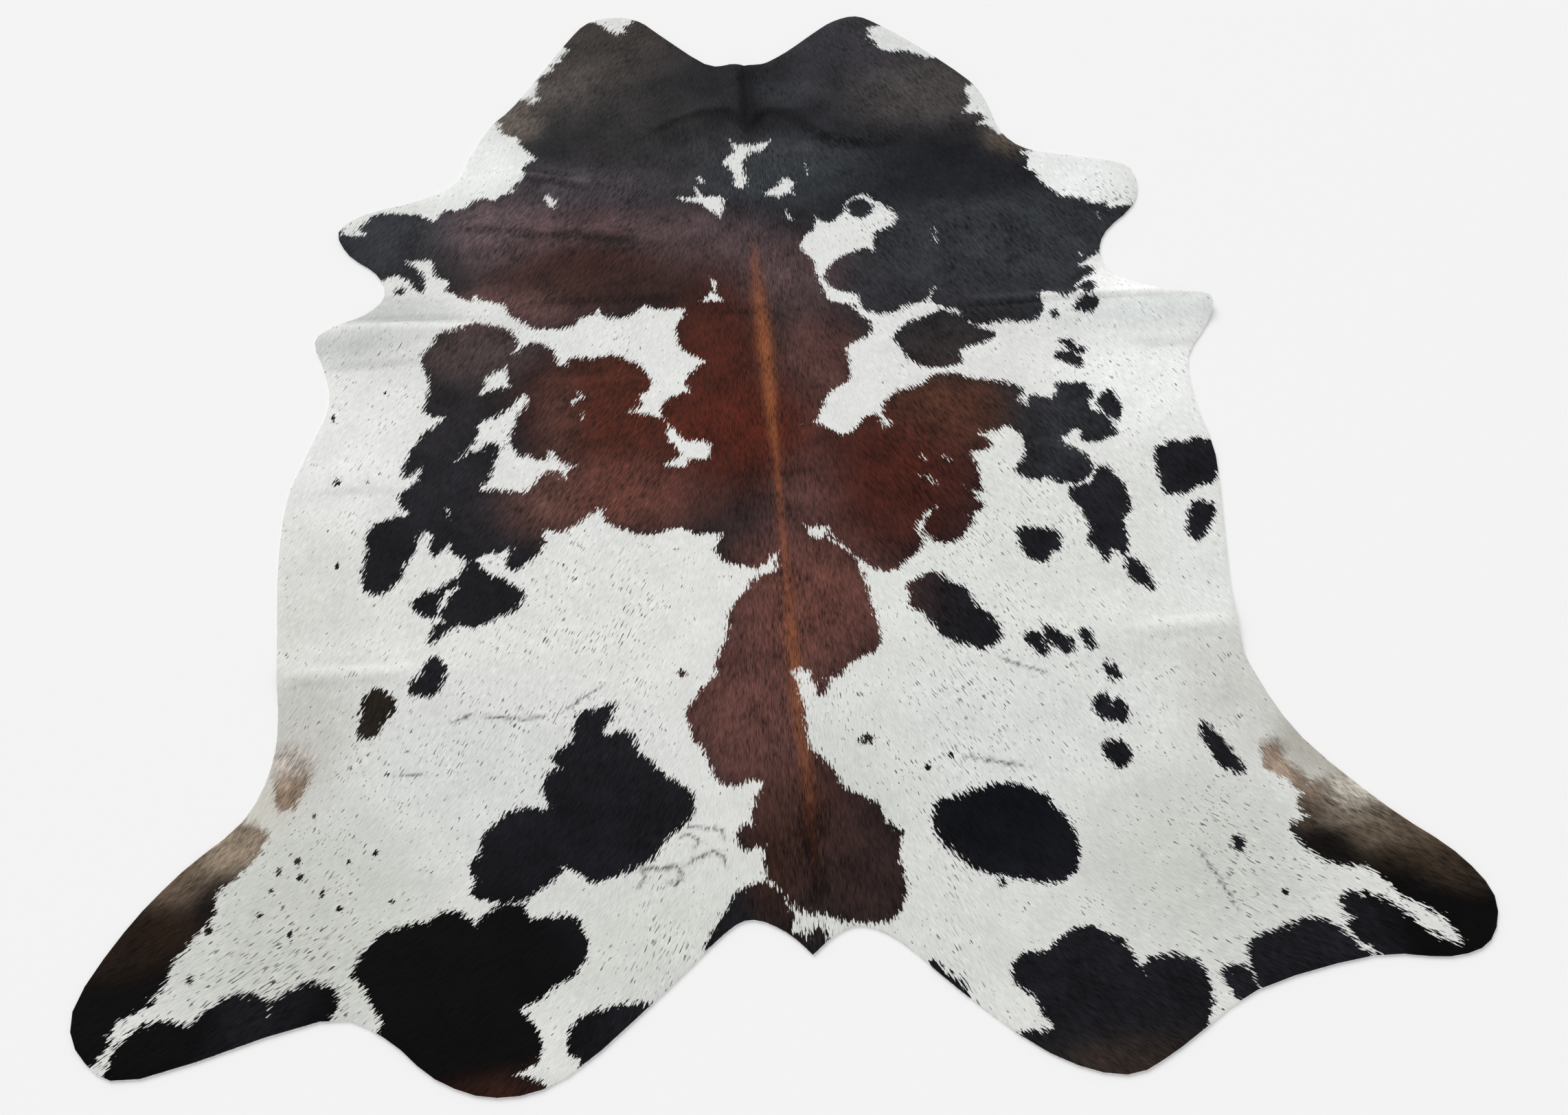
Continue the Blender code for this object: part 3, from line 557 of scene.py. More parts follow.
# Thin lines of hair that part or cross: kind, half width, then x and y of each bend
hairLines = [
    ("white", 0.35, [(10.0, -23.0), (12.0, -25.5), (14.0, -28.5)]),
    ("white", 0.25, [(37.0, 45.5), (37.0, 41.5)]),
    ("white", 0.20, [(13.2, 66.0), (13.2, 62.0)]),
    ("white", 0.25, [(-55.6, -14.0), (-54.5, -16.0)]),
    ("white", 0.25, [(-32.5, 5.0), (-32.0, 3.5)]),
    ("white", 0.25, [(70.0, 47.6), (71.0, 46.0)]),
    ("white", 0.25, [(64.2, 37.8), (65.2, 36.3)]),
    ("white", 0.30, [(28.0, -8.5), (29.0, -9.8)]),
    ("white", 0.30, [(32.0, -9.0), (33.0, -10.0)]),
    ("white", 0.30, [(27.5, -12.5), (29.0, -13.5), (30.5, -15.0)]),
    ("dark", 0.22, [(-48.0, -53.8), (-44.5, -54.0), (-41.0, -54.7), (-37.5, -54.4)]),
    ("dark", 0.20, [(-52.5, -54.5), (-51.0, -54.0), (-48.5, -52.9)]),
    ("dark", 0.16, [(-35.0, -54.1), (-32.4, -52.0), (-28.0, -49.5)]),
    ("dark", 0.20, [(-60.0, -62.7), (-56.0, -62.7)]),
    ("dark", 0.22, [(-16.0, -74.0), (-13.1, -74.2), (-10.4, -74.8), (-9.9, -76.6)]),
    ("dark", 0.20, [(-17.2, -75.8), (-15.5, -75.1), (-13.8, -76.2), (-14.6, -77.6)]),
    ("dark", 0.26, [(-16.4, -80.0), (-13.9, -78.9), (-11.9, -77.9), (-10.2, -79.1), (-9.8, -80.8)]),
    ("dark", 0.26, [(-24.0, -80.3), (-21.4, -80.1), (-17.4, -79.8), (-16.5, -81.2), (-17.4, -82.8),
                    (-18.9, -82.3)]),
    ("dark", 0.20, [(-22.6, -80.2), (-22.0, -81.2), (-23.4, -83.0)]),
    ("dark", 0.22, [(27.5, -65.3), (32.0, -66.5), (38.0, -68.0)]),
    ("dark", 0.18, [(35.5, -48.5), (39.0, -50.5), (43.8, -52.3)]),
    ("dark", 0.18, [(61.0, -82.0), (63.0, -87.0), (65.0, -92.5)]),
]

# Hair colours, one over another: x, y, half across, half along, colour (0-255), strength
darkTones = [
    (-26, 104, 18, 14, (65, 60, 57), 1.1), (24, 102, 18, 12, (57, 55, 60), 1.1),
    (0, 90, 14, 12, (36, 37, 41), 1.1), (-36, 93, 9, 8, (92, 84, 80), 0.9),
    # the narrow near-black oval at (2, 86) is painted shade in the neck backbone crease
    (-47, 82, 5, 6, (112, 102, 94), 1.1), (2, 86, 2.2, 10, (24, 24, 27), 1.8),
    (-20, 82, 14, 8, (52, 50, 50), 0.9), (40, 86, 14, 11, (78, 73, 71), 0.9),
    (55.5, 70, 4.5, 5, (114, 100, 86), 1.4), (-18, 72, 20, 7, (46, 44, 45), 0.9),
    (10, 87, 8, 4, (66, 67, 71), 0.9), (-6, 71, 12, 4, (66, 65, 70), 0.8),
    (13, 68, 9, 4, (64, 65, 69), 0.9), (12, 64, 18, 8, (62, 67, 70), 1.0),
    (40, 62, 22, 10, (29, 30, 35), 1.2), (48, 42, 26, 14, (57, 60, 64), 1.0),
    (34, 30, 20, 8, (50, 50, 54), 0.8), (-34, 62, 18, 6, (78, 72, 77), 1.0),
    (-70, 50, 12, 10, (54, 56, 61), 1.2), (-50, 50, 11, 8, (106, 87, 90), 1.5),
    (-34, 50, 12, 6, (90, 68, 69), 1.0), (-30, 38, 18, 7, (62, 40, 35), 1.2),
    (-12, 46, 12, 7, (92, 74, 76), 1.1), (-46, 31, 12, 5, (108, 78, 75), 1.0),
    (-62, 40, 8, 8, (40, 38, 40), 0.8), (8, 36, 10, 8, (94, 72, 72), 1.0),
    (-7, 20, 7, 13, (80, 38, 29), 1.2), (12, 14, 7, 13, (92, 62, 58), 1.1),
    (-4, 0, 12, 10, (88, 38, 27), 1.2), (-25, 6, 14, 12, (85, 42, 31), 1.1),
    (-26, -13, 14, 7, (106, 64, 55), 1.1), (8, -14, 6, 8, (92, 62, 58), 0.9),
    (-39, -13, 8, 6, (102, 72, 65), 1.2), (-36, 4, 4, 8, (88, 62, 56), 0.9),
    (-52, 20, 9, 6, (80, 67, 65), 1.2), (-56, 6, 7, 7, (44, 41, 43), 1.0),
    (-54, -10, 12, 12, (38, 37, 41), 1.1), (-60, -24, 10, 10, (28, 28, 31), 1.0),
    (23, -12, 11, 12, (76, 36, 28), 1.3), (34, 1, 10, 8, (87, 54, 42), 1.1),
    (54, -4, 8, 12, (49, 50, 54), 1.2), (58, -24, 6, 10, (34, 34, 38), 1.2),
    (36, 17, 9, 7, (52, 47, 47), 1.1), (6, -36, 12, 12, (108, 68, 60), 1.2),
    (-6, -56, 10, 13, (104, 68, 62), 1.2), (2, -72, 10, 8, (70, 46, 41), 1.0),
    (11, -82, 8, 9, (54, 40, 38), 1.1), (-2, -80, 4, 8, (54, 36, 30), 0.9),
    (-76.3, -65, 4, 3.5, (158, 137, 118), 1.8), (-77, -58.5, 5, 3, (204, 194, 184), 2.0),
    (-85, -72, 7, 4, (160, 143, 124), 2.0), (-92, -77, 5, 4, (104, 89, 74), 1.6),
    (-93, -85, 5, 4, (40, 29, 21), 1.4), (-85, -82, 3, 4, (26, 21, 19), 1.2),
    (-98, -89, 5, 5, (40, 31, 25), 1.2), (-96, -97, 9, 7, (9, 7, 7), 1.7),
    (76.5, -69.5, 3, 5, (160, 140, 122), 1.8), (81, -74.5, 2.5, 3, (124, 110, 96), 2.2),
    (79.3, -78, 2.5, 2.5, (72, 62, 52), 2.2), (83, -78.3, 3, 2.2, (120, 108, 94), 1.8),
    (87.3, -75, 4, 2.2, (206, 199, 187), 3.4), (86, -76.8, 3, 1.5, (176, 165, 150), 2.0),
    (84.5, -71, 2.5, 2.2, (172, 165, 153), 2.4), (89, -79, 4, 2.2, (128, 116, 101), 1.8),
    (81, -83.5, 4, 2.2, (24, 21, 20), 2.2), (85.3, -82, 2.4, 1.6, (78, 68, 57), 1.6),
    (89, -82.4, 4, 2, (102, 90, 76), 1.8), (95, -81.5, 5, 3.5, (94, 82, 68), 1.8),
    (91, -86, 5, 2.4, (48, 40, 32), 1.8), (96, -86.5, 4, 3, (58, 48, 38), 1.6),
    (101, -89, 4, 4, (54, 45, 36), 1.6), (100, -97, 8, 5, (5, 4, 4), 1.8),
    (88, -89, 5, 2.6, (16, 14, 14), 1.5), (-50, -97, 13, 11, (7, 6, 7), 1.8),
    (31, -72, 14, 9, (20, 21, 25), 1.3), (-19, -70, 7, 8, (28, 28, 32), 1.8),
    (-34, -74, 14, 8, (27, 27, 31), 1.0), (-43, -111, 9, 4, (58, 36, 28), 1.2),
    (46, -114, 12, 4, (56, 46, 40), 1.0), (-64, -52, 4, 4, (42, 36, 28), 1.0),
]

# The warm line of hair along the backbone: y, x, half width, strength
backboneLine = [
    (47, 1.2, 0.5, 0.0), (38, 1.2, 0.9, 0.5), (30, 1.5, 1.3, 0.8), (18, 1.9, 1.5, 1.0),
    (9, 2.1, 1.2, 1.0), (2, 2.0, 0.9, 0.9), (-6, 2.4, 0.6, 0.7), (-20, 2.3, 0.6, 0.45),
    (-34, 2.6, 0.7, 0.6), (-44, 2.5, 1.0, 0.8), (-58, 2.9, 1.1, 0.7), (-68, 3.2, 1.0, 0.45),
    (-78, 3.4, 0.8, 0.12), (-84, 3.4, 0.6, 0.0),
]

# Stray dark hairs in the white: x, y, half across, half along, amount
tickingPlaces = [
    (-46, -66, 34, 22, 0.50), (-74, -92, 14, 12, 0.85), (-70, -72, 12, 12, 0.7), (30, -60, 30, 26, 0.5),
    (66, -80, 10, 16, 0.8), (-30, -35, 26, 14, 0.4), (40, -25, 22, 16, 0.42), (64, 10, 12, 12, 0.25),
    (-70, 14, 8, 16, 0.2), (22, 50, 8, 8, 0.5), (-73, 48, 8, 8, 1.0), (76, 51, 7, 6, 1.0),
    (10, -95, 14, 8, 0.5), (-22, -94, 16, 8, 0.6), (46, -90, 16, 8, 0.4), (20, -30, 10, 8, 0.3),
]

# Soft edges, where one hair colour fades into another: x, y, half across, half along, amount
softPlaces = [
    (-77, -58.5, 6, 4, 1.0), (-87, -68, 9, 3, 0.6), (79, -66, 6, 4, 0.7), (88, -70, 9, 4, 0.8),
    (-45, 84, 7, 8, 0.2),
]

# Shades in the white hair, as above
whiteTones = [
    (-10, 15, 60, 40, (234, 235, 232), 1.0), (-30, -36, 30, 20, (232, 232, 229), 1.0),
    (40, -30, 26, 22, (228, 230, 226), 1.0), (-56, 68, 8, 8, (246, 249, 246), 1.6),
    # the grey ovals at (-70, 31) and (-74, 22) are painted shade beside the left foreleg fold, and the
    # white one at (76, 31) is painted light above the right foreleg fold
    (66, 58, 10, 8, (247, 249, 248), 1.6), (-70, 31, 10, 3, (197, 199, 197), 2.0),
    (-74, 22, 10, 3, (208, 210, 207), 1.2), (30, 80, 60, 30, (228, 230, 229), 0.6),
    (-76, 47, 8, 4, (220, 222, 221), 1.0), (76, 31, 10, 4, (255, 255, 255), 2.4),
    (74, 21.5, 13, 2.5, (234, 238, 236), 2.2), (-74, 0, 9, 12, (243, 243, 241), 1.2),
    (-76, -34, 10, 12, (222, 223, 217), 1.0), (-76, -56, 8, 8, (196, 195, 188), 1.2),
    (-80, -66, 5, 4, (208, 203, 192), 1.0), (70, 5, 12, 10, (249, 251, 250), 1.3),
    (74, -35, 10, 14, (232, 234, 231), 1.0), (74, -56, 8, 8, (206, 207, 201), 1.2),
    (82.4, -66.5, 3.6, 4.4, (178, 175, 166), 2.6), (-46, -62, 22, 12, (220, 222, 219), 1.1),
    (36, -60, 22, 12, (224, 226, 223), 1.1), (-72, -84, 14, 14, (202, 204, 197), 1.2),
    (60, -84, 14, 12, (206, 208, 202), 1.2), (12, -68, 8, 10, (212, 215, 209), 1.0),
    (-20, -90, 20, 8, (216, 218, 212), 1.0), (24, -92, 14, 8, (220, 222, 217), 1.0),
]


def smoothRun(points, steps, closed=False):
    # a soft line through the points, with this many straight runs in each gap
    if closed:
        padded = [points[-1]] + points + points[:2]
    else:
        padded = [points[0]] + points + [points[-1]]
    run = []
    for before, start, end, after in zip(padded, padded[1:], padded[2:], padded[3:]):
        for step in range(steps):
            t = step / steps
            run.append(tuple(
                0.5 * (2 * q + (r - p) * t + (2 * p - 5 * q + 4 * r - s) * t ** 2
                       + (3 * q - p - 3 * r + s) * t ** 3)
                for p, q, r, s in zip(before, start, end, after)))
    return run


def hideOutline(settings):
    backboneX = settings["backboneX"]
    notch = (backboneX, settings["neckNotchY"])
    tail = (backboneX, settings["tailTipY"])
    left = [(backboneX - row[1], row[2]) for row in cutEdge]
    right = [(backboneX + row[3], row[4]) for row in reversed(cutEdge)]
    steps = settings["outlineSteps"]
    return smoothRun([notch] + left + [tail], steps) + smoothRun([tail] + right + [notch], steps)


def awayFromRun(x, y, bends):
    # distance from a line of bends, and how far along it (0 to 1) the nearest point is
    best, where = 1e9, 0.0
    gaps = len(bends) - 1
    for n, ((ax, ay), (bx, by)) in enumerate(zip(bends, bends[1:])):
        runX, runY = bx - ax, by - ay
        t = min(max(((x - ax) * runX + (y - ay) * runY) / (runX ** 2 + runY ** 2), 0.0), 1.0)
        away = math.hypot(x - ax - t * runX, y - ay - t * runY)
        if away < best:
            best, where = away, (n + t) / gaps
    return best, where


def nearBends(x, y, bends, reach):
    return (min(b[0] for b in bends) - reach < x < max(b[0] for b in bends) + reach
            and min(b[1] for b in bends) - reach < y < max(b[1] for b in bends) + reach)


def foldLift(x, y):
    # how far the skin stands off the floor: the tallest fold that reaches the place
    lift = 0.0
    for _, startsAt, fromX, fromY, toX, toY, height, halfWidth in skinFolds:
        away, along = awayFromRun(x, y, [(fromX, fromY), (toX, toY)])
        if away < halfWidth:
            fade = 1 - along ** 2 if startsAt == "edge" else math.sin(math.pi * along)
            lift = max(lift, height * fade * (0.5 + 0.5 * math.cos(math.pi * away / halfWidth)))
    return lift


def creaseLift(x, y, widen=1.0):
    # how far the creases raise or lower the hair side; they run out softly at both ends
    lift = 0.0
    for _, bends, depth, halfWidth in coatCreases:
        halfWidth *= widen
        if not nearBends(x, y, bends, halfWidth):
            continue
        away, along = awayFromRun(x, y, bends)
        if away < halfWidth:
            fade = min(1.0, 4 * along + 0.15, 4 * (1 - along) + 0.15)
            lift += depth * fade * (0.5 + 0.5 * math.cos(math.pi * away / halfWidth))
    return lift


def makeObject(name, form):
    mesh = bpy.data.meshes.new(name)
    form.to_mesh(mesh)
    form.free()
    made = bpy.data.objects.new(name, mesh)
    bpy.context.scene.collection.objects.link(made)
    return made


def loopBlock(points, low, high):
    # the loop as a block, from low to high
    form = bmesh.new()
    floor = form.faces.new([form.verts.new((x, y, low)) for x, y in points])
    raised = bmesh.ops.extrude_face_region(form, geom=[floor])
    upper = [item for item in raised["geom"] if isinstance(item, bmesh.types.BMVert)]
    bmesh.ops.translate(form, vec=(0, 0, high - low), verts=upper)
    bmesh.ops.recalc_face_normals(form, faces=form.faces)
    return form


class Patch:
    # one loop on the hide: tells how far inside it a place is, up to a reach
    def __init__(self, points, reach):
        self.reach = reach
        self.points = points
        self.low = [min(p[n] for p in points) - reach for n in (0, 1)]
        self.high = [max(p[n] for p in points) + reach for n in (0, 1)]
        block = loopBlock(points, -0.005, 0.005)
        flats = [face for face in block.faces if abs(face.normal.z) > 0.5]
        lid = block.copy()
        bmesh.ops.delete(lid, geom=[f for f in lid.faces if f.normal.z < 0.5], context='FACES')
        bmesh.ops.triangulate(lid, faces=lid.faces)
        self.inside = BVHTree.FromBMesh(lid)
        lid.free()
        bmesh.ops.delete(block, geom=flats, context='FACES_ONLY')
        self.wall = BVHTree.FromBMesh(block)
        block.free()

    def depth(self, x, y):
        if not (self.low[0] < x < self.high[0] and self.low[1] < y < self.high[1]):
            return -self.reach
        away = self.wall.find_nearest(Vector((x, y, 0)), self.reach)[3]
        away = self.reach if away is None else away
        return away if self.holds(x, y) else -away

    def holds(self, x, y):
        # two rays a hair apart, as one can slip between two faces
        down = Vector((0, 0, -1))
        starts = [Vector((x + aside, y + 0.7 * aside, 1)) for aside in (1.3e-5, -1.7e-5)]
        return any(self.inside.ray_cast(start, down)[0] is not None for start in starts)


def coatDepth(x, y, darks, whites, reach):
    # how far inside dark hair a place is, in metres: positive in dark, negative in white
    depth = max(patch.depth(x, y) for patch in darks)
    if depth > -reach:
        for patch in whites:
            depth = min(depth, -patch.depth(x, y))
    for dotX, dotY, across, along in darkDots:
        away = math.hypot((x / cm - dotX) / across, (y / cm - dotY) / along)
        if away < 4:
            slope = max(coatSettings["dotSlope"], min(across, along) * cm)
            depth = max(depth, (1 - away) * slope - coatSettings["overlap"])
    for kind, halfWidth, bends in hairLines:
        if kind == "white" and nearBends(x / cm, y / cm, bends, 2):
            away, along = awayFromRun(x / cm, y / cm, bends)
            inside = (halfWidth * min(1.0, 0.4 + 3 * along, 0.4 + 3 * (1 - along)) - away) * cm
            depth = min(depth, -inside)
    return max(-reach, min(reach, depth))


def makeBlank(settings):
    # a flat slab, finely divided above and coarsely below
    thick = settings["leather"] + settings["coat"]
    halfX, halfY = settings["blankHalf"]
    form = bmesh.new()
    for cell, z in ((settings["hairCell"], thick), (settings["fleshCell"], 0.0)):
        columns, rows = round(2 * halfX / cell), round(2 * halfY / cell)
        made = bmesh.ops.create_grid(form, x_segments=columns, y_segments=rows, size=1.0)
        bmesh.ops.scale(form, vec=(halfX, halfY, 1), verts=made["verts"])
        bmesh.ops.translate(form, vec=(0, 0, z), verts=made["verts"])
    rims = [edge for edge in form.edges if edge.is_boundary]
    bmesh.ops.bridge_loops(form, edges=rims)
    bmesh.ops.recalc_face_normals(form, faces=form.faces)
    return makeObject("hide", form)


def cutToOutline(blank, settings):
    thick = settings["leather"] + settings["coat"]
    knife = makeObject("knife", loopBlock(hideOutline(settings), -4 * thick, 5 * thick))
    cut = blank.modifiers.new("outline", 'BOOLEAN')
    cut.operation = 'INTERSECT'
    cut.solver = 'EXACT'
    cut.object = knife
    bpy.context.view_layer.update()
    graph = bpy.context.evaluated_depsgraph_get()
    trimmed = bpy.data.meshes.new_from_object(blank.evaluated_get(graph))
    blank.modifiers.clear()
    blank.data = trimmed
    trimmed.name = "hide"
    bpy.data.objects.remove(knife)


def refine(form, places, reach):
    # divide the hair side again near these places
    tree = KDTree(len(places))
    for n, (x, y) in enumerate(places):
        tree.insert((x, y, 0), n)
    tree.balance()
    near = set()
    for vert in form.verts:
        onTop = vert.co.z > hideSettings["leather"] * 1.2
        if onTop and tree.find((vert.co.x, vert.co.y, 0))[2] < reach:
            near.add(vert)
    edges = [edge for edge in form.edges
             if edge.verts[0] in near and edge.verts[1] in near and not edge.is_boundary
             and all(face.normal.z > 0.5 for face in edge.link_faces)]
    bmesh.ops.subdivide_edges(form, edges=edges, cuts=1, use_grid_fill=True)


def lineAmount(x, y):
    # how much of a thin dark line of hair is at a place, x and y in centimetres
    most = 0.0
    for kind, halfWidth, bends in hairLines:
        if kind == "dark" and nearBends(x, y, bends, 2):
            away, along = awayFromRun(x, y, bends)
            fade = min(1.0, 0.3 + 4 * along, 0.3 + 4 * (1 - along))
            most = max(most, fade * math.exp(-(away / halfWidth) ** 2))
    return most


def spread(table, x, y):
    # the strongest of several soft ovals at a place
    most = 0.0
    for px, py, across, along, amount in table:
        away = ((x - px) / across) ** 2 + ((y - py) / along) ** 2
        if away < 5:
            most = max(most, amount * math.exp(-away))
    return most


def toLinear(value):
    # a colour part of 0 to 255 as the light it stands for
    value = value / 255
    return value / 12.92 if value < 0.04045 else ((value + 0.055) / 1.055) ** 2.4


def toneAt(table, base, x, y, gloss=0.0):
    # the mean of a faint base colour and the ovals near the place, x and y in centimetres;
    # gloss is the light that the shine adds over the hair's own colour
    faint = 0.15
    total, sums = faint, [faint * part for part in base]
    for px, py, across, along, colour, strength in table:
        away = ((x - px) / across) ** 2 + ((y - py) / along) ** 2
        if away < 6:
            weight = strength * math.exp(-away * 1.3)
            total += weight
            sums = [s + weight * part for s, part in zip(sums, colour)]
    return [max(0.0015, toLinear(s / total) - gloss) for s in sums] + [1.0]


def backboneWarmth(x, y):
    # how much of the warm line is at a place, x and y in centimetres
    rows = backboneLine
    if not rows[-1][0] < y < rows[0][0]:
        return 0.0
    for high, low in zip(rows, rows[1:]):
        if low[0] <= y <= high[0]:
            t = (high[0] - y) / (high[0] - low[0])
            middle, half, strength = [a + (b - a) * t for a, b in zip(high[1:], low[1:])]
            return strength * math.exp(-((x - middle) / half) ** 2)
    return 0.0


leanSettings = {
    "flankTurn": 32,          # degrees that the hair leans out over the flanks
    "flankFrom": 0.30,        # the full turn is reached this far from the backbone
    "legTurn": 22,            # degrees more towards the hind legs
    "legFrom": -0.6,
    "legLength": 0.3,
    "legOut": 0.7,
}


def hairLean(x, y, settings, backboneX):
    # which way the hair lies, as an angle from straight towards the tail
    side = 1 if x > backboneX else -1
    out = min(abs(x - backboneX) / settings["flankFrom"], 1.0)
    lean = settings["flankTurn"] * out
    if y < settings["legFrom"]:
        down = min((settings["legFrom"] - y) / settings["legLength"], 1.0)
        lean += settings["legTurn"] * down * out * min(abs(x) / settings["legOut"], 1.0)
    return math.radians(side * lean)


def makePatches(table, settings):
    steps, reach = settings["patchSteps"], settings["patchReach"]
    return [Patch(smoothRun([(x * cm, y * cm) for x, y in loop], steps, True), reach)
            for loop in table.values()]


def makeHide(settings):
    thick = settings["leather"] + settings["coat"]
    hide = makeBlank(settings)
    cutToOutline(hide, settings)
    print("hide cut:", len(hide.data.vertices), "vertices")

    darks = makePatches(darkPatches, settings)
    whites = makePatches(whitePatches, settings)
    edge = Patch(hideOutline(settings), settings["patchReach"])
    print("patches marked out:", len(darks), "dark,", len(whites), "white")

    form = bmesh.new()
    form.from_mesh(hide.data)
    # a line round the cut edge, where the coat meets the leather
    bmesh.ops.bisect_plane(form, geom=form.verts[:] + form.edges[:] + form.faces[:], dist=1e-5,
                           plane_co=(0, 0, settings["leather"]), plane_no=(0, 0, 1))
    form.normal_update()
    refine(form, [point for patch in darks + whites for point in patch.points], settings["refineEdges"])
    dots = [(x * cm, y * cm) for x, y, _, _ in darkDots]
    lines = [(x * cm, y * cm) for _, _, bends in hairLines
             for x, y in smoothRun(bends, settings["lineSteps"])]
    refine(form, dots + lines, settings["refineSmall"])
    refine(form, dots, settings["refineDots"])
    print("hair side refined:", len(form.verts), "vertices")

    layers = form.verts.layers
    coatEdge = layers.float.new("coatEdge")
    lean = layers.float.new("hairLean")
    warmth = layers.float.new("backbone")
    ticking = layers.float.new("ticking")
    softEdge = layers.float.new("softEdge")
    thinLine = layers.float.new("thinLine")
    paintedShadeAndLight = layers.float.new("paintedShadeAndLight")
    darkTone = layers.float_color.new("darkTone")
    whiteTone = layers.float_color.new("whiteTone")
    for face in form.faces:
        middle = face.calc_center_median().z
        face.material_index = 0 if middle > settings["leather"] * 1.05 else 1
    for vert in form.verts:
        x, y, z = vert.co
        cmX, cmY = x / cm, y / cm
        lift = foldLift(x, y)
        if z > settings["leather"] * 0.9:
            vert[coatEdge] = coatDepth(x, y, darks, whites, settings["patchReach"])
            vert[lean] = hairLean(x, y, leanSettings, settings["backboneX"])
            vert[warmth] = backboneWarmth(cmX, cmY)
            vert[ticking] = spread(tickingPlaces, cmX, cmY)
            vert[thinLine] = lineAmount(cmX, cmY)
            vert[softEdge] = spread(softPlaces, cmX, cmY)
            vert[darkTone] = toneAt(darkTones, settings["darkBase"], cmX, cmY, settings["darkGloss"])
            vert[whiteTone] = toneAt(whiteTones, settings["whiteBase"], cmX, cmY)
            # painted shade in the creases' grooves and painted light on their ridges, taken up by the
            # hair colour
            shade = creaseLift(x, y, settings["paintedShadeWiden"]) * settings["paintedShadeGain"]
            vert[paintedShadeAndLight] = max(-1.0, min(1.0, shade))
        if z > thick * 0.9:
            rim = max(0.0, 1 - max(0.0, edge.depth(x, y)) / settings["edgeTaper"])
            crease = max(creaseLift(x, y), settings["deepest"])
            swell = noise.noise((x * settings["unevenScale"], y * settings["unevenScale"], 0))
            lift += crease * (1 - rim) - 0.5 * settings["coat"] * rim ** 2
            lift += settings["unevenness"] * swell * (1 - rim)
        vert.co.z += lift
    bmesh.ops.triangulate(form, faces=[face for face in form.faces if len(face.verts) > 4])
    for face in form.faces:
        face.smooth = True
    form.to_mesh(hide.data)
    form.free()
    hide.data.set_sharp_from_angle(angle=math.radians(settings["sharpFrom"]))
    hide.data.materials.clear()
    hide.data.materials.append(coatMaterial())
    hide.data.materials.append(fleshMaterial())
    print("hide finished:", len(hide.data.vertices), "vertices")
    return hide


def feed(tree, made, names, values):
    # link or set a node's inputs, by name or by number
    for name, value in zip(names, values):
        if isinstance(value, bpy.types.NodeSocket):
            tree.links.new(value, made.inputs[name])
        else:
            made.inputs[name].default_value = value


def maths(tree, operation, first, second=0.0, third=0.0):
    made = tree.nodes.new("ShaderNodeMath")
    made.operation = operation
    feed(tree, made, (0, 1, 2), (first, second, third))
    return made.outputs[0]


def blend(tree, amount, first, second, kind='MIX'):
    made = tree.nodes.new("ShaderNodeMix")
    made.data_type = 'RGBA'
    made.blend_type = kind
    feed(tree, made, (0, 6, 7), (amount, first, second))
    return made.outputs[2]


def softStep(tree, value, low, high):
    made = tree.nodes.new("ShaderNodeMapRange")
    made.interpolation_type = 'SMOOTHSTEP'
    feed(tree, made, ("Value", "From Min", "From Max"), (value, low, high))
    return made.outputs[0]


def cloudNoise(tree, place, scale, detail):
    made = tree.nodes.new("ShaderNodeTexNoise")
    feed(tree, made, ("Vector", "Scale", "Detail"), (place, scale, detail))
    return made.outputs[0]


def bumpFrom(tree, height, strength, distance):
    made = tree.nodes.new("ShaderNodeBump")
    feed(tree, made, ("Height", "Strength", "Distance"), (height, strength, distance))
    return made.outputs[0]


def hairGroup():
    # noise drawn out along the lie of the hair, in five directions that melt into each other
    group = bpy.data.node_groups.new("hair streaks", 'ShaderNodeTree')
    group.interface.new_socket("Vector", in_out='INPUT', socket_type='NodeSocketVector')
    for name in ("Lean", "Across", "Along", "Detail"):
        group.interface.new_socket(name, in_out='INPUT', socket_type='NodeSocketFloat')
    group.interface.new_socket("Streak", in_out='OUTPUT', socket_type='NodeSocketFloat')
    given = group.nodes.new("NodeGroupInput").outputs
    total = None
    step = math.radians(28)   # between two directions
    pull = group.nodes.new("ShaderNodeCombineXYZ")
    group.links.new(given["Across"], pull.inputs[0])
    group.links.new(given["Along"], pull.inputs[1])
    for n in (-2, -1, 0, 1, 2):
        turn = group.nodes.new("ShaderNodeVectorRotate")
        turn.rotation_type = 'Z_AXIS'
        feed(group, turn, ("Vector", "Angle"), (given["Vector"], -n * step))
        size = group.nodes.new("ShaderNodeVectorMath")
        size.operation = 'MULTIPLY'
        feed(group, size, (0, 1), (turn.outputs[0], pull.outputs[0]))
        grain = group.nodes.new("ShaderNodeTexNoise")
        grain.noise_dimensions = '2D'
        group.links.new(size.outputs[0], grain.inputs["Vector"])
        group.links.new(given["Detail"], grain.inputs["Detail"])
        grain.inputs["Scale"].default_value = 1.0
        away = maths(group, 'ABSOLUTE', maths(group, 'SUBTRACT', given["Lean"], n * step))
        share = maths(group, 'SUBTRACT', 1.0, maths(group, 'DIVIDE', away, step))
        share = maths(group, 'MAXIMUM', share, 0.0)
        part = maths(group, 'MULTIPLY', share, grain.outputs[0])
        total = part if total is None else maths(group, 'ADD', total, part)
    out = group.nodes.new("NodeGroupOutput")
    group.links.new(total, out.inputs["Streak"])
    return group


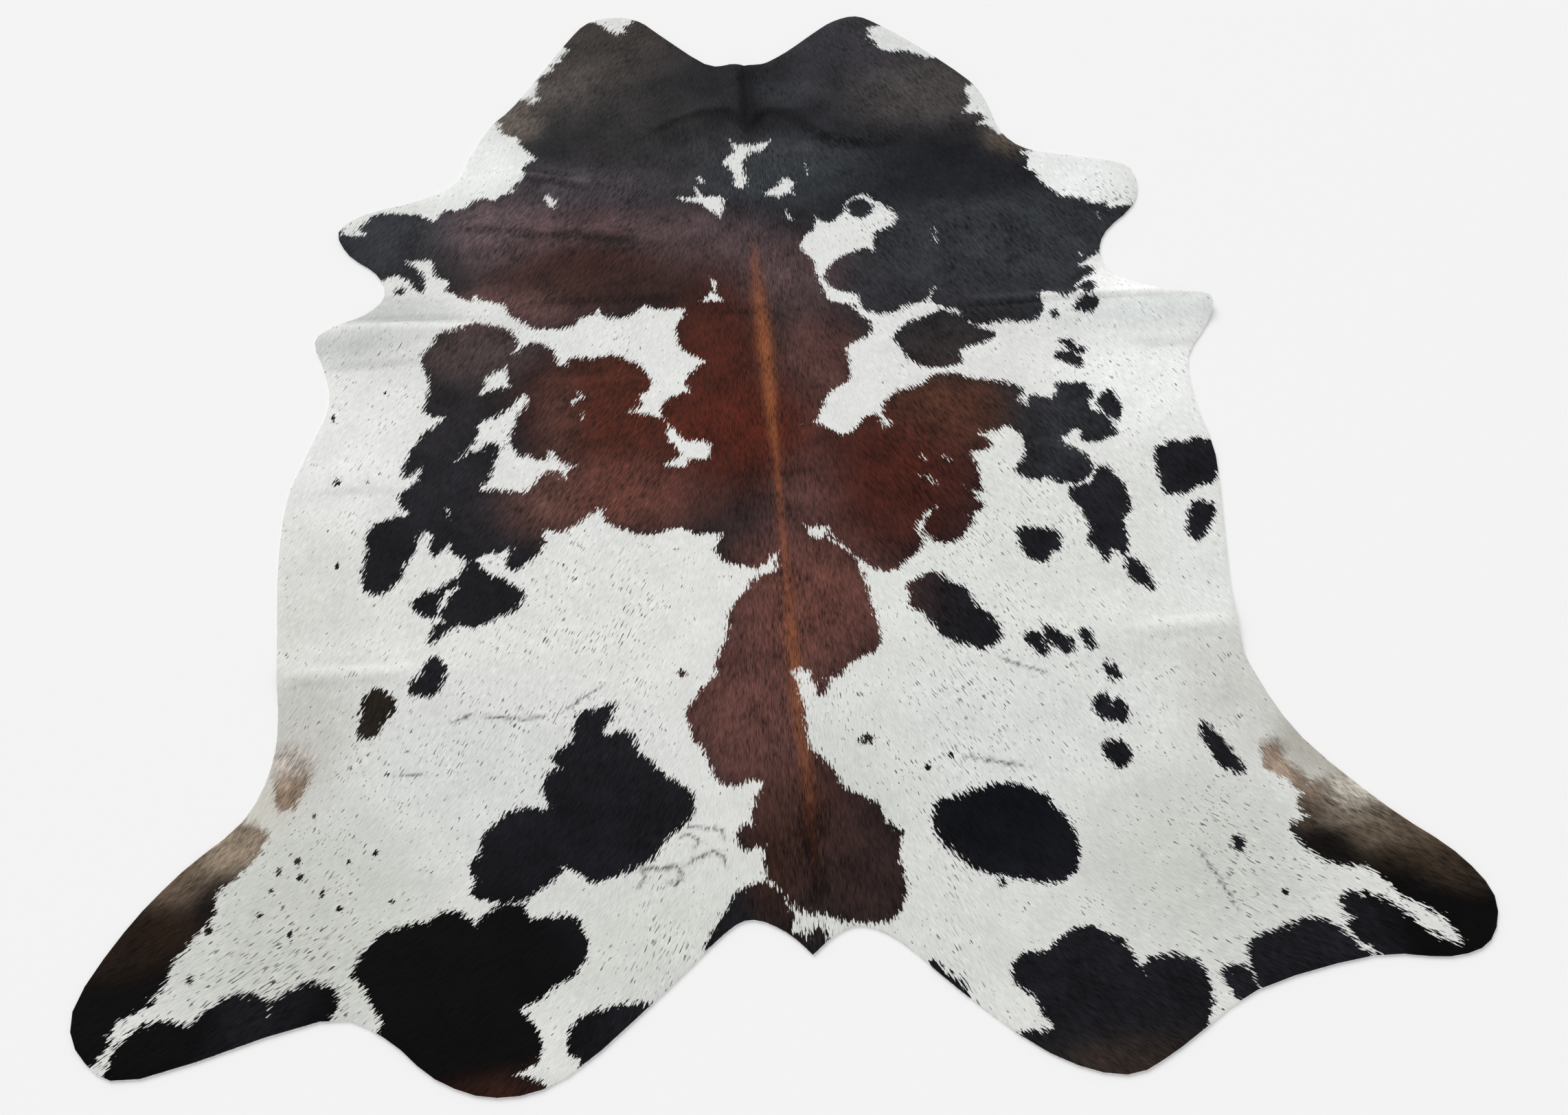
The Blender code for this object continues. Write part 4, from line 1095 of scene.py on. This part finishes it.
coatSettings = {
    "fringe": 0.027,          # how far hair of one colour reaches over the other
    "fringeFine": 0.020,
    "overlap": 0.0028,        # dark hair tips lie over the white
    "crispness": 0.0010,
    "softWidth": 0.026,       # how much wider a soft edge is
    "dotSlope": 0.008,        # keeps the smallest dots round
    "backboneColour": (0.31, 0.10, 0.038, 1.0),
    "tickColour": (0.07, 0.065, 0.065, 1.0),
    "clumps": (150, 30, 2),   # streaks: how fine across the hair and along it, and their detail
    "hairs": (560, 70, 1),
    "fringes": (340, 46, 1),
    "tips": (720, 100, 1),
    "specks": (380, 66, 0),
    "cloudScale": 16.0,
    "cloudDetail": 4.0,
    "tickLimit": 0.785,       # streaks above this turn into stray dark hairs
    "tickEase": -0.15,        # lowers the limit where they are many
    "darkLevel": 1.31,        # brightness of the dark and white hair, and the painted shade and light that creases add to it
    "darkPaintedShade": 0.62,
    "whiteLevel": 1.08,
    "whitePaintedShade": 0.16,
    "roughness": 0.60,
    "specular": 0.06,
    "bump": 0.5,
    "bumpDistance": 0.0022,
}


def coatMaterial():
    material = bpy.data.materials.new("cowhide hair")
    material.use_nodes = True
    tree = material.node_tree
    surface = tree.nodes["Principled BSDF"]
    settings = coatSettings
    place = tree.nodes.new("ShaderNodeTexCoord").outputs["Object"]

    def painted(name, colour=False):
        made = tree.nodes.new("ShaderNodeAttribute")
        made.attribute_name = name
        return made.outputs["Color" if colour else "Fac"]

    lean = painted("hairLean")
    group = hairGroup()

    def streaks(across, along, detail):
        made = tree.nodes.new("ShaderNodeGroup")
        made.node_tree = group
        names = ("Vector", "Lean", "Across", "Along", "Detail")
        feed(tree, made, names, (place, lean, across, along, detail))
        return made.outputs["Streak"]

    clumps = streaks(*settings["clumps"])
    hairs = streaks(*settings["hairs"])
    fringe = streaks(*settings["fringes"])
    tips = streaks(*settings["tips"])
    specks = streaks(*settings["specks"])
    cloud = cloudNoise(tree, place, settings["cloudScale"], settings["cloudDetail"])

    def around(value, amount, base=1.0):
        # base, more or less by a noise value that lies about a half
        return maths(tree, 'MULTIPLY_ADD', maths(tree, 'SUBTRACT', value, 0.5), amount, base)

    # where dark hair shows
    reach = maths(tree, 'ADD', around(fringe, settings["fringe"], painted("coatEdge")),
                  around(tips, settings["fringeFine"], settings["overlap"]))
    width = maths(tree, 'MULTIPLY_ADD', painted("softEdge"), settings["softWidth"], settings["crispness"])
    dark = softStep(tree, reach, maths(tree, 'MULTIPLY', width, -1.0), width)

    # stray dark hairs in the white, and thin dark lines of hair
    limit = maths(tree, 'MULTIPLY_ADD', painted("ticking"), settings["tickEase"], settings["tickLimit"])
    limit = around(cloud, -0.35, limit)
    tick = softStep(tree, specks, limit, maths(tree, 'ADD', limit, 0.045))
    tick = maths(tree, 'MULTIPLY', tick, around(clumps, 1.6, 0.70))
    line = maths(tree, 'MULTIPLY', painted("thinLine"), softStep(tree, fringe, 0.32, 0.56))
    tick = maths(tree, 'MAXIMUM', tick, line)

    # brightness of the dark hair, its warm line, and the white hair, with painted shade in the creases'
    # grooves and painted light on their ridges
    shade = around(painted("paintedShadeAndLight"), settings["darkPaintedShade"], settings["darkLevel"])
    shade = around(hairs, 2.3, around(clumps, 1.6, around(cloud, 1.6, shade)))
    shade = maths(tree, 'MAXIMUM', shade, 0.2)
    darkHair = blend(tree, 1.0, painted("darkTone", True), shade, 'MULTIPLY')
    warm = maths(tree, 'MULTIPLY', painted("backbone"), around(hairs, 1.6, around(cloud, 1.6, 0.75)))
    warm = maths(tree, 'MINIMUM', warm, 1.0)
    darkHair = blend(tree, warm, darkHair, settings["backboneColour"])
    # the white hair takes the same painted crease shade and light, more weakly
    pale = around(painted("paintedShadeAndLight"), settings["whitePaintedShade"], settings["whiteLevel"])
    pale = around(hairs, 0.50, around(clumps, 0.16, around(cloud, 0.26, pale)))
    whiteHair = blend(tree, 1.0, painted("whiteTone", True), pale, 'MULTIPLY')
    whiteHair = blend(tree, tick, whiteHair, settings["tickColour"])
    tree.links.new(blend(tree, dark, whiteHair, darkHair), surface.inputs["Base Color"])

    tree.links.new(around(clumps, 0.5, settings["roughness"]), surface.inputs["Roughness"])
    height = maths(tree, 'ADD', maths(tree, 'MULTIPLY', clumps, 0.5), maths(tree, 'MULTIPLY', hairs, 0.5))
    bump = bumpFrom(tree, height, settings["bump"], settings["bumpDistance"])
    tree.links.new(bump, surface.inputs["Normal"])
    surface.inputs["Specular IOR Level"].default_value = settings["specular"]
    return material


fleshSettings = {
    "pale": (0.62, 0.52, 0.40, 1.0),
    "deep": (0.48, 0.38, 0.28, 1.0),
    "roughness": 0.85,
    "cloudScale": 9.0,
    "cloudDetail": 4.0,
    "napScale": 420.0,
    "napDetail": 2.0,
    "bump": 0.4,
    "bumpDistance": 0.0008,
}


def fleshMaterial():
    material = bpy.data.materials.new("suede flesh side")
    material.use_nodes = True
    tree = material.node_tree
    surface = tree.nodes["Principled BSDF"]
    settings = fleshSettings
    place = tree.nodes.new("ShaderNodeTexCoord").outputs["Object"]
    cloud = cloudNoise(tree, place, settings["cloudScale"], settings["cloudDetail"])
    nap = cloudNoise(tree, place, settings["napScale"], settings["napDetail"])
    mixed = maths(tree, 'MULTIPLY_ADD', nap, 0.35, maths(tree, 'MULTIPLY', cloud, 0.75))
    tree.links.new(blend(tree, mixed, settings["deep"], settings["pale"]), surface.inputs["Base Color"])
    rough = maths(tree, 'MULTIPLY_ADD', nap, 0.1, settings["roughness"] - 0.05)
    tree.links.new(rough, surface.inputs["Roughness"])
    bump = bumpFrom(tree, nap, settings["bump"], settings["bumpDistance"])
    tree.links.new(bump, surface.inputs["Normal"])
    return material


makeCamera(studioSettings)
makeStudio(studioSettings)
print("camera and studio ready")

hide = makeHide(hideSettings)
hide.name = "cowhide"
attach(hide, "root")
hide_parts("hide")
